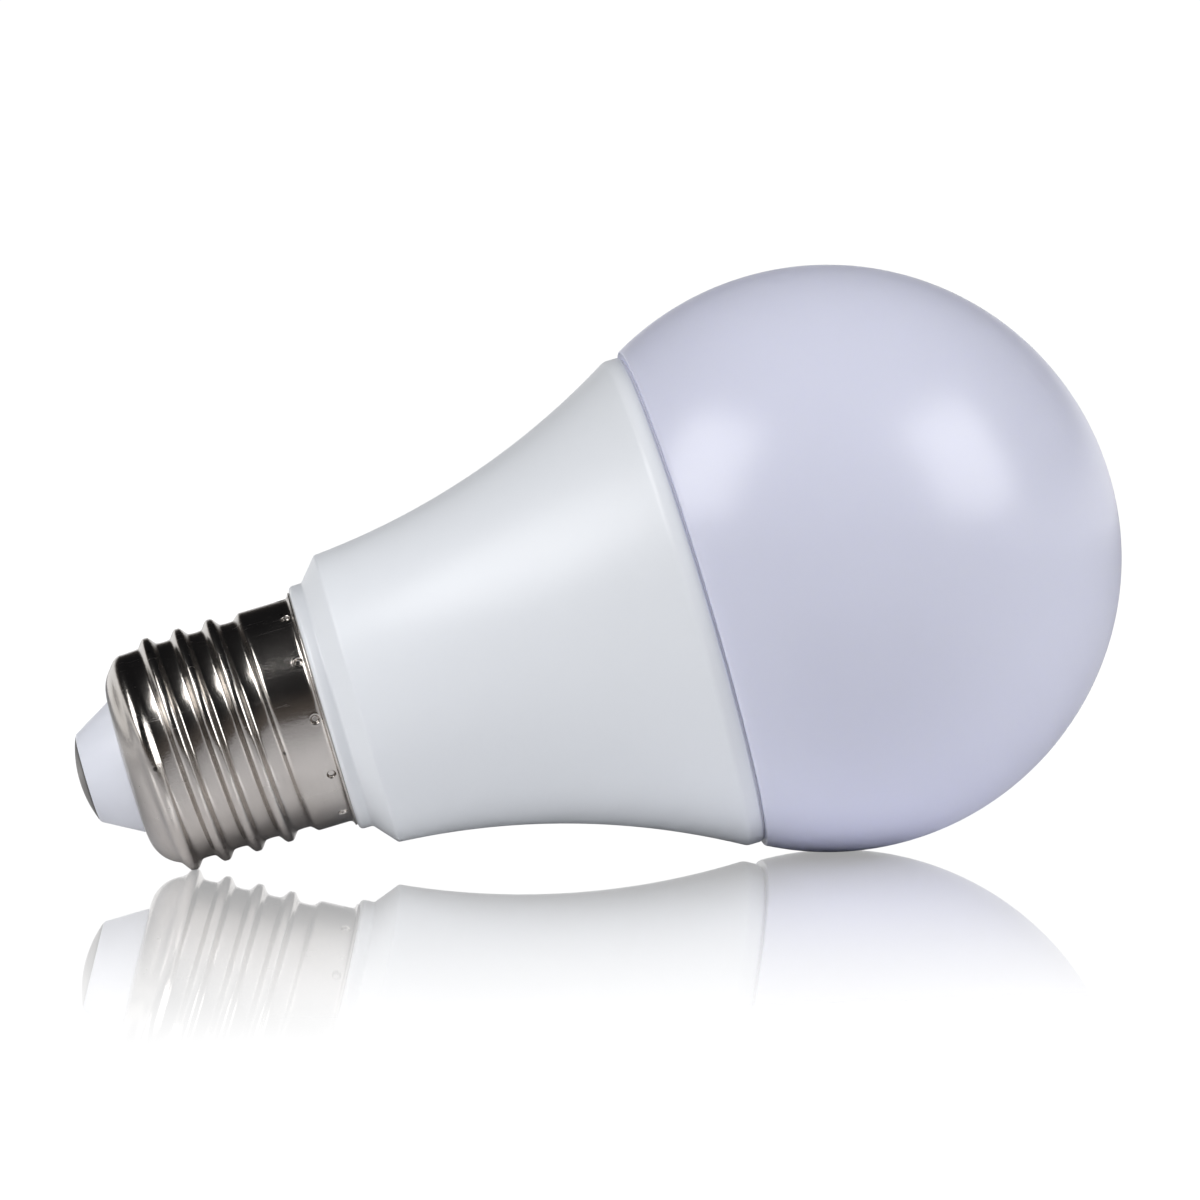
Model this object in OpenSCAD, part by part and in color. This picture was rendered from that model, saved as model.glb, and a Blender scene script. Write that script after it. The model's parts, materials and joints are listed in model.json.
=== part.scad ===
// Wireless LED light bulb with an E27 screw cap, lying on its side.
// The bulb is drawn upright along its own axis, from the tip of the centre contact
// (z = 0) to the crown of the globe, and lay() then sets it down on the floor.

/* [Overall] */
// Outside diameter of the round globe
globe_d = 65; // [60:0.5:80]
// Diameter of the globe where it is cut off at the seam
mouth_d = 56.9; // [54:0.1:59]
// Height of the housing's rim above the contact tip
rim_z = 70.1; // [68:0.1:95]

/* [Screw cap] */
// Rise of one turn of the thread
thread_pitch = 3.629; // [3.6:0.001:3.66]
// Diameter over the thread crests
crest_d = 26.05; // [25.9:0.01:26.4]
// Diameter at the thread roots
root_d = 24.1; // [23.9:0.05:24.3]
// Height of the first full crest, measured on the floor side
first_crest_z = 9.5; // [9.2:0.1:10.5]
// Diameter of the plain skirt above the thread
skirt_d = 25.5; // [25.2:0.05:25.8]
// Thickness of the shell's sheet metal
shell_wall = 0.3; // [0.2:0.05:0.4]
// Height of the shell's flat bottom
shell_bottom_z = 5.5; // [5:0.1:6]
// Radius of the rounded edge around the shell's bottom
shell_corner_r = 4.05; // [3.5:0.05:4.5]
// Diameter of the hole in the shell's bottom
shell_mouth_d = 15.2; // [14:0.1:16]
// Height at which the shell's flange meets the housing
flange_z = 27.95; // [27.5:0.05:30]
// Diameter of the shell's turned-out flange
flange_d = 26.7; // [26.3:0.1:27.5]
// Number of staking marks around the skirt
stake_count = 12; // [4:1:16]
// Diameter of one staking mark
stake_d = 1.1; // [0.8:0.1:1.6]
// Depth of one staking mark
stake_depth = 0.4; // [0.2:0.05:0.5]
// Distance from the flange to the row of staking marks
stake_drop = 1.15; // [0.9:0.05:1.5]

/* [Centre contact] */
// Diameter of the contact's head
contact_d = 9.5; // [8:0.1:11]
// Height of the contact's dome
contact_h = 0.9; // [0.6:0.05:1.4]
// Diameter of the contact's shank
shank_d = 3; // [2:0.1:4]
// Height at which the shank ends
shank_top_z = 6.2; // [5.2:0.1:7]
// Diameter of the insulator's front face
insulator_nose_d = 9.9; // [9.6:0.1:12]
// Thickness of the insulator's front wall
insulator_wall = 3.4; // [2:0.1:4]
// Height of the insulator's collar inside the shell
insulator_collar_h = 1.8; // [1:0.1:2.5]

/* [Housing] */
// Diameter of the small collar above the flange
collar_d = 27.9; // [27.2:0.1:29]
// Length of the small collar
collar_l = 1.55; // [1:0.05:2.5]
// Diameter at the top of the conical shoulder
shoulder_d = 33; // [30:0.5:36]
// Length of the conical shoulder
shoulder_l = 2.2; // [1.5:0.1:4]
// Diameter at the end of the flare, just under the rounded lip
flare_d = 55.4; // [53:0.1:57]
// Radius of the hollow curve of the flare
flare_r = 84; // [60:1:150]
// Height of the rounded lip above the flare
lip_h = 2; // [1.5:0.1:3]
// Radius of the rounded lip
lip_r = 1.4; // [0.8:0.1:1.6]
// Wall of the housing
housing_wall = 1.3; // [1:0.1:1.8]
// Wall of the neck inside the shell
neck_wall = 1.5; // [1.2:0.1:2]
// Height of the neck's open end
neck_z = 9; // [8.6:0.1:11]

/* [Diffuser] */
// Wall of the globe
diffuser_wall = 1.3; // [0.8:0.1:2]
// Depth of the skirt that snaps into the housing
snap_h = 2.8; // [2:0.1:3]
// Wall of the snap skirt
snap_wall = 1.2; // [0.8:0.1:1.6]
// Height of the snap bead on the skirt
bead_h = 0.3; // [0.1:0.05:0.4]
// Gap at the seam, filled by the sealing bead
seam_gap = 0.25; // [0.1:0.05:0.5]

/* [Heat sink and lamp board] */
// Wall of the aluminium cup
cup_wall = 0.8; // [0.5:0.1:1.2]
// Thickness of the cup's top plate
plate_t = 1; // [0.8:0.1:1.5]
// Diameter of the hole in the cup's top plate
plate_hole_d = 27; // [25:0.5:29]
// Thickness of the heat-conducting pad
pad_t = 0.2; // [0.1:0.05:0.4]
// Thickness of the lamp board
lamp_board_t = 1; // [0.8:0.1:1.6]
// Distance from the rim down to the top of the lamp board
lamp_board_drop = 3.5; // [3.3:0.1:6]
// Number of white lamps
white_count = 16; // [8:1:18]
// Number of colour lamps
colour_count = 4; // [2:2:4]
// Diameter of the screws' threads
screw_d = 2.2; // [1.8:0.1:2.6]
// Length of the screws under the head
screw_l = 5; // [4:0.5:6]
// Distance of the screws from the axis
screw_ring_r = 16.5; // [16:0.1:17]

/* [Driver] */
// Thickness of the driver board
driver_board_t = 1; // [0.8:0.1:1.6]
// Height of the driver board's lower end
driver_board_z = 12; // [11:0.5:14]
// Width of the driver board above the neck
driver_board_w = 24; // [22:0.5:25]
// Diameter of the fuse resistor
fuse_d = 2.4; // [1.8:0.1:2.6]
// Diameter of the input capacitor
input_cap_d = 8; // [6:0.1:10]
// Length of the input capacitor
input_cap_l = 12; // [8:0.5:13]
// Diameter of the output capacitor
output_cap_d = 7; // [5:0.1:8.5]
// Length of the output capacitor
output_cap_l = 10; // [8:0.5:12]
// Length of the transformer core, across the bulb
core_w = 11; // [9:0.5:12]
// Thickness of the wireless board
radio_board_t = 0.8; // [0.6:0.1:1]
// Width of the wireless board
radio_board_w = 12; // [10:0.5:13]
// Height of the wireless board above the lamp board
radio_above = 9; // [6:0.5:11]
// Diameter of the supply leads
lead_d = 1; // [0.6:0.1:1.2]

/* [Hidden] */
$fn = 96;

// Named clearances between pieces that fit together
neck_gap = 0.2;
slip_gap = 0.1;
board_gap = 0.15;
cut = 1;

// The globe and the way the bulb lies: it rests on the globe and on the first thread crest.
globe_r = globe_d / 2;
mouth_r = mouth_d / 2;
mouth_z = rim_z + seam_gap;
globe_z = mouth_z + sqrt(globe_r * globe_r - mouth_r * mouth_r);
crest_r = crest_d / 2;
rest_span = globe_z - first_crest_z;
tilt = asin(globe_r / norm([rest_span, crest_r])) - atan(crest_r / rest_span);
contact_ball_r = (contact_d * contact_d / 4 + contact_h * contact_h) / (2 * contact_h);
back_x = contact_ball_r * (cos(tilt) - 1);
front_x = globe_z * cos(tilt) + globe_r;
drop_x = -(back_x + front_x) / 2;
drop_z = globe_r - globe_z * sin(tilt);

// Screw shell
root_r = root_d / 2;
skirt_r = skirt_d / 2;
ring_steps = 36;
rows_per_turn = 8;
corner_rows = 6;
thread_inset = 0.05;
sheet_r = shell_wall + thread_inset;
shell_mouth_r = shell_mouth_d / 2;
shell_corner_z = shell_bottom_z + shell_corner_r;
shell_floor_r = root_r - shell_corner_r;
thread_turns = 4.35;
skirt_z = first_crest_z + thread_turns * thread_pitch;
run_in_start = -0.75;
run_in_end = -0.1;
crest_fade_start = 3.05;
crest_fade_end = 3.45;
valley_fade_start = 3.6;
valley_fade_end = 3.95;
crest_sharpness = 2;
stake_z = flange_z - stake_drop;
flange_fillet = 0.5;

// Contact and insulator
insulator_nose_r = insulator_nose_d / 2;
insulator_top_z = shell_bottom_z + shell_wall + insulator_collar_h;
insulator_cup_r = 5;

// Housing
neck_r = root_r - sheet_r - neck_gap;
neck_in_r = neck_r - neck_wall;
seat_r = skirt_r - shell_wall - neck_gap;
collar_r = collar_d / 2;
collar_edge = 0.55;
collar_top_z = flange_z + collar_l;
shoulder_top = [shoulder_d / 2, collar_top_z + shoulder_l];
flare_top = [flare_d / 2, rim_z - lip_h];
flare_centre = arc_centre(shoulder_top, flare_top, flare_r);
flare_from = heading(flare_centre, shoulder_top);
flare_to = heading(flare_centre, flare_top);
lip_centre = flare_top + lip_r * (flare_top - flare_centre) / flare_r;
lip_edge = 0.25;
lip_face_r = lip_centre[0] + lip_r;
seal_r = lip_face_r - lip_edge - 0.05;
ledge_z = shoulder_top[1] + 1.8;
ledge_r = shoulder_top[0] - housing_wall - 1.8;
rim_bore_r = flare_top[0] - 1.5;
rim_bore_z = mouth_z - snap_h - 0.25;
groove_z = mouth_z - snap_h + 0.9;
rail_w = 1.3;
rail_l = 12;

// Heat sink cup and lamp board
lamp_board_z = rim_z - lamp_board_drop - lamp_board_t;
plate_z = lamp_board_z - pad_t - plate_t;
lamp_board_r = flare_wall_r(lamp_board_z, housing_wall) - 0.4;
plate_r = flare_wall_r(plate_z, housing_wall + slip_gap) - 0.05;
plate_hole_r = plate_hole_d / 2;
white_ring_r = lamp_board_r - 3.7;
colour_ring_r = 11.6;
screw_boss_r = screw_d / 2 + 0.9;
screw_hole_r = screw_d / 2 + slip_gap;
screw_pilot_r = screw_d / 2 + 0.05;
screw_angles = [0, 180];

// Driver board: front is the -y side, the board itself lies from y = 0 to y = driver_board_t
driver_top_z = plate_z - 4;
wide_z = ledge_z + 0.5;
board_neck_w = 2 * (neck_in_r - 0.5);
fuse_z = driver_board_z + 3.5;
input_cap_z = fuse_z + fuse_d / 2 + 1.2;
coil_d = 6.6;
coil_h = 8;
coil_z = input_cap_z + input_cap_l + coil_d / 2 + 1.5;
core_z = coil_z + coil_d / 2 + 0.9;
core_l = 10;
core_h = 9;
core_leg = core_l / 2 - 1.8;
bobbin_wall = 0.7;
window_w = core_w - 5;
winding_gap = 0.05;
pin_start_z = driver_top_z - 1.8;
output_cap_z = pin_start_z - output_cap_d / 2 - 0.3;
wire_d = 0.6;
pin_pitch = 2.54;
pin_w = 0.64;
pin_count = 4;
socket_h = 2.6;
socket_w = pin_count * pin_pitch + 0.6;
socket_d = 3.4;
socket_y = -pin_w / 2;

// Wireless board, behind the driver board and standing up through the lamp board
radio_y = driver_board_t + 2.5;
radio_z = core_z + 8;
radio_top_z = lamp_board_z + lamp_board_t + radio_above;
shield_w = 9;
shield_l = 9.5;
shield_h = 1.8;
shield_wall = 0.2;
shield_z = radio_z + 5;
radio_back_y = radio_y + radio_board_t;
trace_w = 0.6;
trace_t = 0.1;

function heading(from, to) = atan2(to[1] - from[1], to[0] - from[0]);
function arc(centre, radius, from, to, steps) = [
    for (i = [0:steps])
        centre + radius * [cos(from + (to - from) * i / steps), sin(from + (to - from) * i / steps)]
];
// Centre of an arc through two profile points that bulges towards the bulb's axis
function arc_centre(low, high, radius) =
    let (chord = high - low, half = norm(chord) / 2)
    (low + high) / 2 + [chord[1], -chord[0]] / (2 * half) * sqrt(radius * radius - half * half);
// Radius of the flare's wall at a height, measured inwards from the outside face
function flare_wall_r(z, inset) =
    flare_centre[0] - sqrt(pow(flare_r + inset, 2) - pow(z - flare_centre[1], 2));
function flare_arc(inset, low_z, high_z, steps) = [
    for (i = [0:steps])
        let (z = low_z + (high_z - low_z) * i / steps) [flare_wall_r(z, inset), z]
];
function fade(low, high, x) =
    let (t = min(1, max(0, (x - low) / (high - low)))) t * t * (3 - 2 * t);
function blend(a, b, t) = a + (b - a) * t;

module lay() {
    translate([drop_x, 0, drop_z])
        rotate([0, 90 - tilt, 0])
            children();
}

module turned(points) {
    rotate_extrude()
        polygon(points);
}

module ring_of(count, radius, first = 0) {
    for (i = [0:count - 1])
        rotate([0, 0, first + i * 360 / count])
            translate([radius, 0, 0])
                children();
}

module block(low, high) {
    translate(low)
        cube(high - low);
}

// A round wire swept along a curve from one end to the other, given two guide points
module bent_wire(a, b, c, d, radius, rings = 16, sides = 10) {
    curve = [
        for (i = [0:rings])
            let (t = i / rings, s = 1 - t)
            s * s * s * a + 3 * s * s * t * b + 3 * s * t * t * c + t * t * t * d
    ];
    across = [0, 1, 0];
    skin = [
        for (i = [0:rings])
            let (
                way = i == 0 ? b - a : i == rings ? d - c : curve[i + 1] - curve[i - 1],
                side = cross(across, way) / norm(cross(across, way)),
                up = cross(way, side) / norm(cross(way, side))
            )
            for (j = [0:sides - 1])
                curve[i] + radius * (cos(360 * j / sides) * side + sin(360 * j / sides) * up)
    ];
    walls = [
        for (i = [0:rings - 1], j = [0:sides - 1])
            let (k = (j + 1) % sides)
            [i * sides + j, (i + 1) * sides + j, (i + 1) * sides + k, i * sides + k]
    ];
    start = [for (j = [0:sides - 1]) j];
    finish = [for (j = [sides - 1:-1:0]) rings * sides + j];
    polyhedron(skin, concat(walls, [start, finish]), convexity = 4);
}

// The thread: height of the crests and of the valleys along the helix, counted in turns
function crest_height(turn) =
    turn < 1
        ? blend(root_r, crest_r, fade(run_in_start, run_in_end, turn))
        : blend(crest_r, skirt_r, fade(crest_fade_start, crest_fade_end, turn));
function valley_height(turn) = blend(root_r, skirt_r, fade(valley_fade_start, valley_fade_end, turn));
function thread_rise(z, angle) =
    let (
        turn = (z - first_crest_z) / thread_pitch - angle / 360,
        off_crest = turn - round(turn),
        ridge = pow((1 + cos(360 * off_crest)) / 2, crest_sharpness),
        low = valley_height(floor(turn) + 0.5 + angle / 360),
        high = crest_height(round(turn) + angle / 360)
    )
    blend(low, high, ridge) - root_r;

// Each row of the thread's wall: a point on the plain profile and the outward direction there
function shell_rows() = concat(
    [[shell_mouth_r, shell_bottom_z, 0, -1]],
    [
        for (i = [0:corner_rows])
            let (a = 90 * i / corner_rows)
            [
                shell_floor_r + shell_corner_r * sin(a),
                shell_corner_z - shell_corner_r * cos(a),
                sin(a),
                -cos(a)
            ]
    ],
    [
        for (i = [1:rows_per_turn * thread_turns + 1])
            let (z = first_crest_z + i * thread_pitch / rows_per_turn)
            if (z < skirt_z - 0.2)
                [root_r, z, 1, 0]
    ],
    [[root_r - thread_inset, skirt_z, 1, 0], [root_r - thread_inset, skirt_z + 0.2, 1, 0]]
);
function shell_point(row, angle, depth) =
    let (
        rise = row[2] * row[2] * thread_rise(row[1], angle) - depth,
        r = row[0] + row[2] * rise,
        z = row[1] + row[3] * rise
    )
    [r * cos(angle), r * sin(angle), z];

module thread_wall() {
    rows = shell_rows();
    count = len(rows);
    outer = [
        for (i = [0:count - 1], j = [0:ring_steps - 1])
            shell_point(rows[i], 360 * j / ring_steps, 0)
    ];
    inner = [
        for (i = [0:count - 1], j = [0:ring_steps - 1])
            let (sheet = i > count - 3 ? sheet_r - 4 * thread_inset : i > corner_rows ? sheet_r : shell_wall)
            shell_point(rows[i], 360 * j / ring_steps, sheet)
    ];
    shift = count * ring_steps;
    faces = [
        for (i = [0:count - 2], j = [0:ring_steps - 1])
            let (k = (j + 1) % ring_steps, a = i * ring_steps, b = a + ring_steps)
            for (face = [
                [a + j, b + j, b + k],
                [a + j, b + k, a + k],
                [shift + a + j, shift + b + k, shift + b + j],
                [shift + a + j, shift + a + k, shift + b + k]
            ])
                face
    ];
    top = (count - 1) * ring_steps;
    ends = [
        for (j = [0:ring_steps - 1])
            let (k = (j + 1) % ring_steps)
            for (face = [
                [j, k, shift + k],
                [j, shift + k, shift + j],
                [top + j, shift + top + k, top + k],
                [top + j, shift + top + j, shift + top + k]
            ])
                face
    ];
    polyhedron(concat(outer, inner), concat(faces, ends), convexity = 10);
}

module skirt_wall() {
    flange_r = flange_d / 2;
    inside = skirt_r - shell_wall;
    bend = flange_fillet;
    turned(concat(
        [[inside, skirt_z], [skirt_r, skirt_z]],
        arc([skirt_r + bend, flange_z - shell_wall - bend], bend, 180, 90, 6),
        [[flange_r, flange_z - shell_wall], [flange_r, flange_z]],
        arc([skirt_r + bend, flange_z - shell_wall - bend], bend + shell_wall, 90, 180, 6)
    ));
}

module screw_shell() {
    color("silver")
        lay()
            difference() {
                union() {
                    thread_wall();
                    skirt_wall();
                    ring_of(stake_count, skirt_r - stake_depth - shell_wall)
                        translate([0, 0, stake_z])
                            rotate([0, 90, 0])
                                cylinder(h = stake_depth + shell_wall - thread_inset, d = stake_d + 0.4, $fn = 24);
                }
                ring_of(stake_count, skirt_r - stake_depth)
                    translate([0, 0, stake_z])
                        rotate([0, 90, 0])
                            cylinder(h = cut, d = stake_d, $fn = 24);
            }
}

module center_contact() {
    color("silver")
        lay() {
            intersection() {
                translate([0, 0, contact_ball_r])
                    sphere(r = contact_ball_r);
                cylinder(h = contact_h, d = contact_d + cut);
            }
            translate([0, 0, contact_h / 2])
                cylinder(h = shank_top_z - contact_h / 2, d = shank_d, $fn = 48);
        }
}

module cap_insulator() {
    waist_r = shell_mouth_r - slip_gap;
    edge = 0.25;
    bore_r = shank_d / 2 + slip_gap / 2;
    color("white")
        lay()
            turned([
                [bore_r, contact_h],
                [insulator_nose_r - edge, contact_h],
                [insulator_nose_r, contact_h + edge],
                [waist_r, shell_bottom_z - 0.1],
                [waist_r, shell_bottom_z + shell_wall],
                [shell_floor_r, shell_bottom_z + shell_wall],
                [shell_floor_r, insulator_top_z],
                [insulator_cup_r, insulator_top_z],
                [insulator_cup_r, contact_h + insulator_wall],
                [bore_r, contact_h + insulator_wall]
            ]);
}

module housing_profile() {
    flare_steps = 20;
    chamfer = 0.6;
    polygon(concat(
        [
            [neck_r - chamfer, neck_z],
            [neck_r, neck_z + chamfer],
            [neck_r, skirt_z + 0.3],
            [seat_r, skirt_z + 0.3],
            [seat_r, flange_z],
            [collar_r - collar_edge, flange_z]
        ],
        arc([collar_r - collar_edge, flange_z + collar_edge], collar_edge, -60, 0, 4),
        [[collar_r, collar_top_z]],
        arc(flare_centre, flare_r, flare_from, flare_to, flare_steps),
        arc(lip_centre, lip_r, heading(flare_top, flare_centre), 0, 4),
        arc([lip_face_r - lip_edge, rim_z - lip_edge], lip_edge, 0, 90, 3),
        [
            [rim_bore_r + 1.1, rim_z],
            [rim_bore_r + 0.9, rim_z],
            [rim_bore_r + 0.4, rim_z - 0.5],
            [rim_bore_r, rim_z - 0.5],
            [rim_bore_r, groove_z + 2 * bead_h],
            [rim_bore_r + bead_h, groove_z + bead_h],
            [rim_bore_r + bead_h, groove_z - bead_h],
            [rim_bore_r, groove_z - 2 * bead_h],
            [rim_bore_r, rim_bore_z],
        ],
        [for (i = [flare_steps:-1:0]) flare_arc(housing_wall, ledge_z, rim_bore_z - 0.3, flare_steps)[i]],
        [
            [ledge_r, ledge_z],
            [ledge_r, shoulder_top[1]],
            [neck_in_r, flange_z - 0.2],
            [neck_in_r, neck_z]
        ]
    ));
}

module board_rail() {
    half = rail_w + board_gap;
    difference() {
        intersection() {
            block(
                [neck_in_r - 1.8, -half, driver_board_z],
                [neck_in_r + 0.3, driver_board_t + half, driver_board_z + rail_l]
            );
            cylinder(h = flange_z, r = neck_in_r + 0.3);
        }
        block(
            [neck_in_r - 2.8, -board_gap, driver_board_z - cut],
            [neck_in_r - 0.35, driver_board_t + board_gap, driver_board_z + rail_l + cut]
        );
    }
}

module housing() {
    notch = lead_d + 0.5;
    color("whitesmoke")
        lay()
            difference() {
                union() {
                    rotate_extrude()
                        housing_profile();
                    board_rail();
                    mirror([1, 0, 0])
                        board_rail();
                }
                ring_of(stake_count, skirt_r - stake_depth - shell_wall - neck_gap)
                    translate([0, 0, stake_z])
                        rotate([0, 90, 0])
                            cylinder(h = cut, d = stake_d + 1.1, $fn = 24);
                block(
                    [-notch / 2, neck_in_r - cut, neck_z - cut],
                    [notch / 2, neck_r + cut, neck_z + 5]
                );
            }
}

module diffuser() {
    snap_r = rim_bore_r - slip_gap;
    snap_in_r = snap_r - snap_wall;
    snap_z = mouth_z - snap_h;
    base_t = 1.2;
    tooth = bead_h - slip_gap / 2;
    color("lavender")
        lay() {
            difference() {
                translate([0, 0, globe_z])
                    sphere(r = globe_r);
                translate([0, 0, globe_z])
                    sphere(r = globe_r - diffuser_wall);
                translate([0, 0, mouth_z - globe_d])
                    cylinder(h = globe_d, r = globe_r + cut);
            }
            turned([
                [snap_in_r, snap_z],
                [snap_r - 0.4, snap_z],
                [snap_r, snap_z + 0.4],
                [snap_r, groove_z - tooth],
                [snap_r + tooth, groove_z - tooth / 2],
                [snap_r + tooth, groove_z + tooth / 2],
                [snap_r, groove_z + tooth],
                [snap_r, mouth_z],
                [mouth_r - 0.5, mouth_z],
                [mouth_r - 0.5, mouth_z + base_t / 2],
                [mouth_r - diffuser_wall, mouth_z + base_t],
                [snap_in_r, mouth_z + base_t]
            ]);
        }
}

module diffuser_seal() {
    color("gainsboro")
        lay()
            turned([
                [rim_bore_r + 0.1, rim_z - 0.45],
                [rim_bore_r + 0.35, rim_z - 0.45],
                [rim_bore_r + 0.85, rim_z],
                [seal_r, rim_z],
                [seal_r, mouth_z],
                [rim_bore_r + 0.1, mouth_z]
            ]);
}

module heat_sink_cup() {
    steps = 16;
    outside = housing_wall + slip_gap;
    inside = outside + cup_wall;
    color("darkgray")
        lay()
            difference() {
                union() {
                    turned(concat(
                        flare_arc(outside, ledge_z, plate_z, steps),
                        [
                            [plate_r, plate_z],
                            [plate_r, plate_z + plate_t],
                            [plate_hole_r, plate_z + plate_t],
                            [plate_hole_r, plate_z]
                        ],
                        [for (i = [steps:-1:0]) flare_arc(inside, ledge_z, plate_z, steps)[i]]
                    ));
                    for (angle = screw_angles)
                        rotate([0, 0, angle])
                            translate([screw_ring_r, 0, plate_z - screw_l + plate_t])
                                cylinder(h = screw_l - plate_t / 2, r = screw_boss_r, $fn = 32);
                }
                for (angle = screw_angles)
                    rotate([0, 0, angle])
                        translate([screw_ring_r, 0, plate_z - screw_l])
                            cylinder(h = screw_l + plate_t + cut, r = screw_pilot_r, $fn = 32);
            }
}

module thermal_pad() {
    color("lightsteelblue")
        lay()
            translate([0, 0, plate_z + plate_t])
                difference() {
                    cylinder(h = pad_t, r = lamp_board_r - 0.6);
                    translate([0, 0, -cut])
                        cylinder(h = pad_t + 2 * cut, r = plate_hole_r + 0.3);
                    for (angle = screw_angles)
                        rotate([0, 0, angle])
                            translate([screw_ring_r, 0, -cut])
                                cylinder(h = pad_t + 2 * cut, r = screw_hole_r + 0.2, $fn = 32);
                }
}

module lamp_board() {
    color("ghostwhite")
        lay()
            difference() {
                translate([0, 0, lamp_board_z])
                    cylinder(h = lamp_board_t, r = lamp_board_r);
                for (angle = screw_angles)
                    rotate([0, 0, angle])
                        translate([screw_ring_r, 0, lamp_board_z - cut])
                            cylinder(h = lamp_board_t + 2 * cut, r = screw_hole_r, $fn = 32);
                block(
                    [-radio_board_w / 2 - 0.3, radio_y - 0.3, lamp_board_z - cut],
                    [radio_board_w / 2 + 0.3, radio_back_y + trace_t + 0.3, lamp_board_z + lamp_board_t + cut]
                );
                block(
                    [-socket_w / 2 + 0.6, socket_y - 0.9, lamp_board_z - cut],
                    [socket_w / 2 - 0.6, socket_y + 0.9, lamp_board_z + lamp_board_t + cut]
                );
            }
}

module lamp_package(length, width, height, window, depth) {
    difference() {
        translate([-width / 2, -length / 2, 0])
            cube([width, length, height]);
        translate([0, 0, height - depth])
            cylinder(h = depth + cut, d = window, $fn = 32);
    }
}

module white_lamps() {
    color("lightyellow")
        lay()
            translate([0, 0, lamp_board_z + lamp_board_t])
                ring_of(white_count, white_ring_r, 360 / white_count / 2)
                    lamp_package(3.5, 2.8, 0.7, 2.2, 0.15);
}

module colour_lamps() {
    color("ivory")
        lay()
            translate([0, 0, lamp_board_z + lamp_board_t])
                ring_of(colour_count, colour_ring_r, 45)
                    lamp_package(5, 5, 1.5, 3.8, 0.5);
}

module board_screws() {
    head_r = screw_d / 2 + 0.95;
    head_h = 1.3;
    slot_w = 0.5;
    color("silver")
        lay()
            for (angle = screw_angles)
                rotate([0, 0, angle])
                    translate([screw_ring_r, 0, lamp_board_z + lamp_board_t])
                        difference() {
                            union() {
                                cylinder(h = head_h, r = head_r, $fn = 32);
                                translate([0, 0, -screw_l + 0.3])
                                    cylinder(h = screw_l, d = screw_d, $fn = 32);
                            }
                            block([-slot_w / 2, -1.3, head_h - 0.7], [slot_w / 2, 1.3, head_h + cut]);
                            block([-1.3, -slot_w / 2, head_h - 0.7], [1.3, slot_w / 2, head_h + cut]);
                        }
}

module pin_row(low_z, high_z, grow = 0) {
    for (i = [0:pin_count - 1])
        translate([(i - (pin_count - 1) / 2) * pin_pitch, 0, 0])
            block(
                [-pin_w / 2 - grow, -pin_w - grow, low_z],
                [pin_w / 2 + grow, grow, high_z]
            );
}

module lamp_socket() {
    base = lamp_board_z + lamp_board_t;
    color("dimgray")
        lay()
            difference() {
                block(
                    [-socket_w / 2, socket_y - socket_d / 2, base],
                    [socket_w / 2, socket_y + socket_d / 2, base + socket_h]
                );
                pin_row(base - cut, base + socket_h + cut, slip_gap);
            }
}

module lamp_pins() {
    color("gold")
        lay()
            pin_row(pin_start_z, lamp_board_z + lamp_board_t + socket_h + 0.5);
}

module driver_board() {
    color("seagreen")
        lay() {
            block([-board_neck_w / 2, 0, driver_board_z], [board_neck_w / 2, driver_board_t, wide_z + cut]);
            block([-driver_board_w / 2, 0, wide_z], [driver_board_w / 2, driver_board_t, driver_top_z]);
        }
}

module fuse_resistor() {
    body_l = 6.4;
    reach = 5;
    axis_y = -fuse_d / 2 - 0.3;
    color("steelblue")
        lay()
            translate([0, axis_y, fuse_z]) {
                rotate([0, 90, 0]) {
                    cylinder(h = body_l, d = fuse_d, center = true, $fn = 32);
                    cylinder(h = 2 * reach, d = wire_d, center = true, $fn = 16);
                }
                for (side = [-1, 1])
                    translate([side * (reach - wire_d / 2), -axis_y, 0])
                        rotate([90, 0, 0])
                            cylinder(h = -axis_y, d = wire_d, $fn = 16);
            }
}

// A flat chip with legs, lying on the back of a board that faces +y
module chip(width, length, height, legs, leg_w) {
    stand = 0.1;
    pitch = length / legs;
    block([-width / 2, stand, -length / 2], [width / 2, height, length / 2]);
    for (i = [0:legs - 1], side = [-1, 1])
        translate([side * (width / 2 + 0.3), 0, (i - (legs - 1) / 2) * pitch])
            block([-0.6, 0, -leg_w / 2], [0.6, height / 3, leg_w / 2]);
}

module bridge_rectifier() {
    color("black")
        lay()
            translate([0, driver_board_t, input_cap_z + 3])
                chip(3.8, 4.8, 1.5, 2, 0.7);
}

module driver_chip() {
    color("black")
        lay()
            translate([0, driver_board_t, coil_z - 1])
                chip(3.9, 5, 1.5, 4, 0.45);
}

module dimming_transistors() {
    color("black")
        lay()
            for (i = [-2:2])
                translate([i * 4.2, driver_board_t, core_z])
                    chip(1.3, 2.9, 1, 1, 0.5);
}

module can_capacitor(diameter, length) {
    lip = 0.4;
    turned([
        [0, 0],
        [diameter / 2 - lip, 0],
        [diameter / 2, lip],
        [diameter / 2, 1.2],
        [diameter / 2 - 0.3, 1.6],
        [diameter / 2, 2],
        [diameter / 2, length - lip],
        [diameter / 2 - lip, length],
        [0, length]
    ]);
}

module input_capacitor() {
    color("midnightblue")
        lay()
            translate([0, -input_cap_d / 2 - slip_gap, input_cap_z]) {
                can_capacitor(input_cap_d, input_cap_l);
                for (side = [-1, 1])
                    translate([side * input_cap_d / 5, 0, -0.6]) {
                        cylinder(h = 1, d = wire_d, $fn = 16);
                        rotate([-90, 0, 0])
                            cylinder(h = input_cap_d / 2 + slip_gap, d = wire_d, $fn = 16);
                    }
            }
}

module output_capacitor() {
    color("midnightblue")
        lay()
            translate([-output_cap_d / 2 - 1.6, 0, output_cap_z])
                rotate([90, 0, 0])
                    can_capacitor(output_cap_d, output_cap_l);
}

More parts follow.
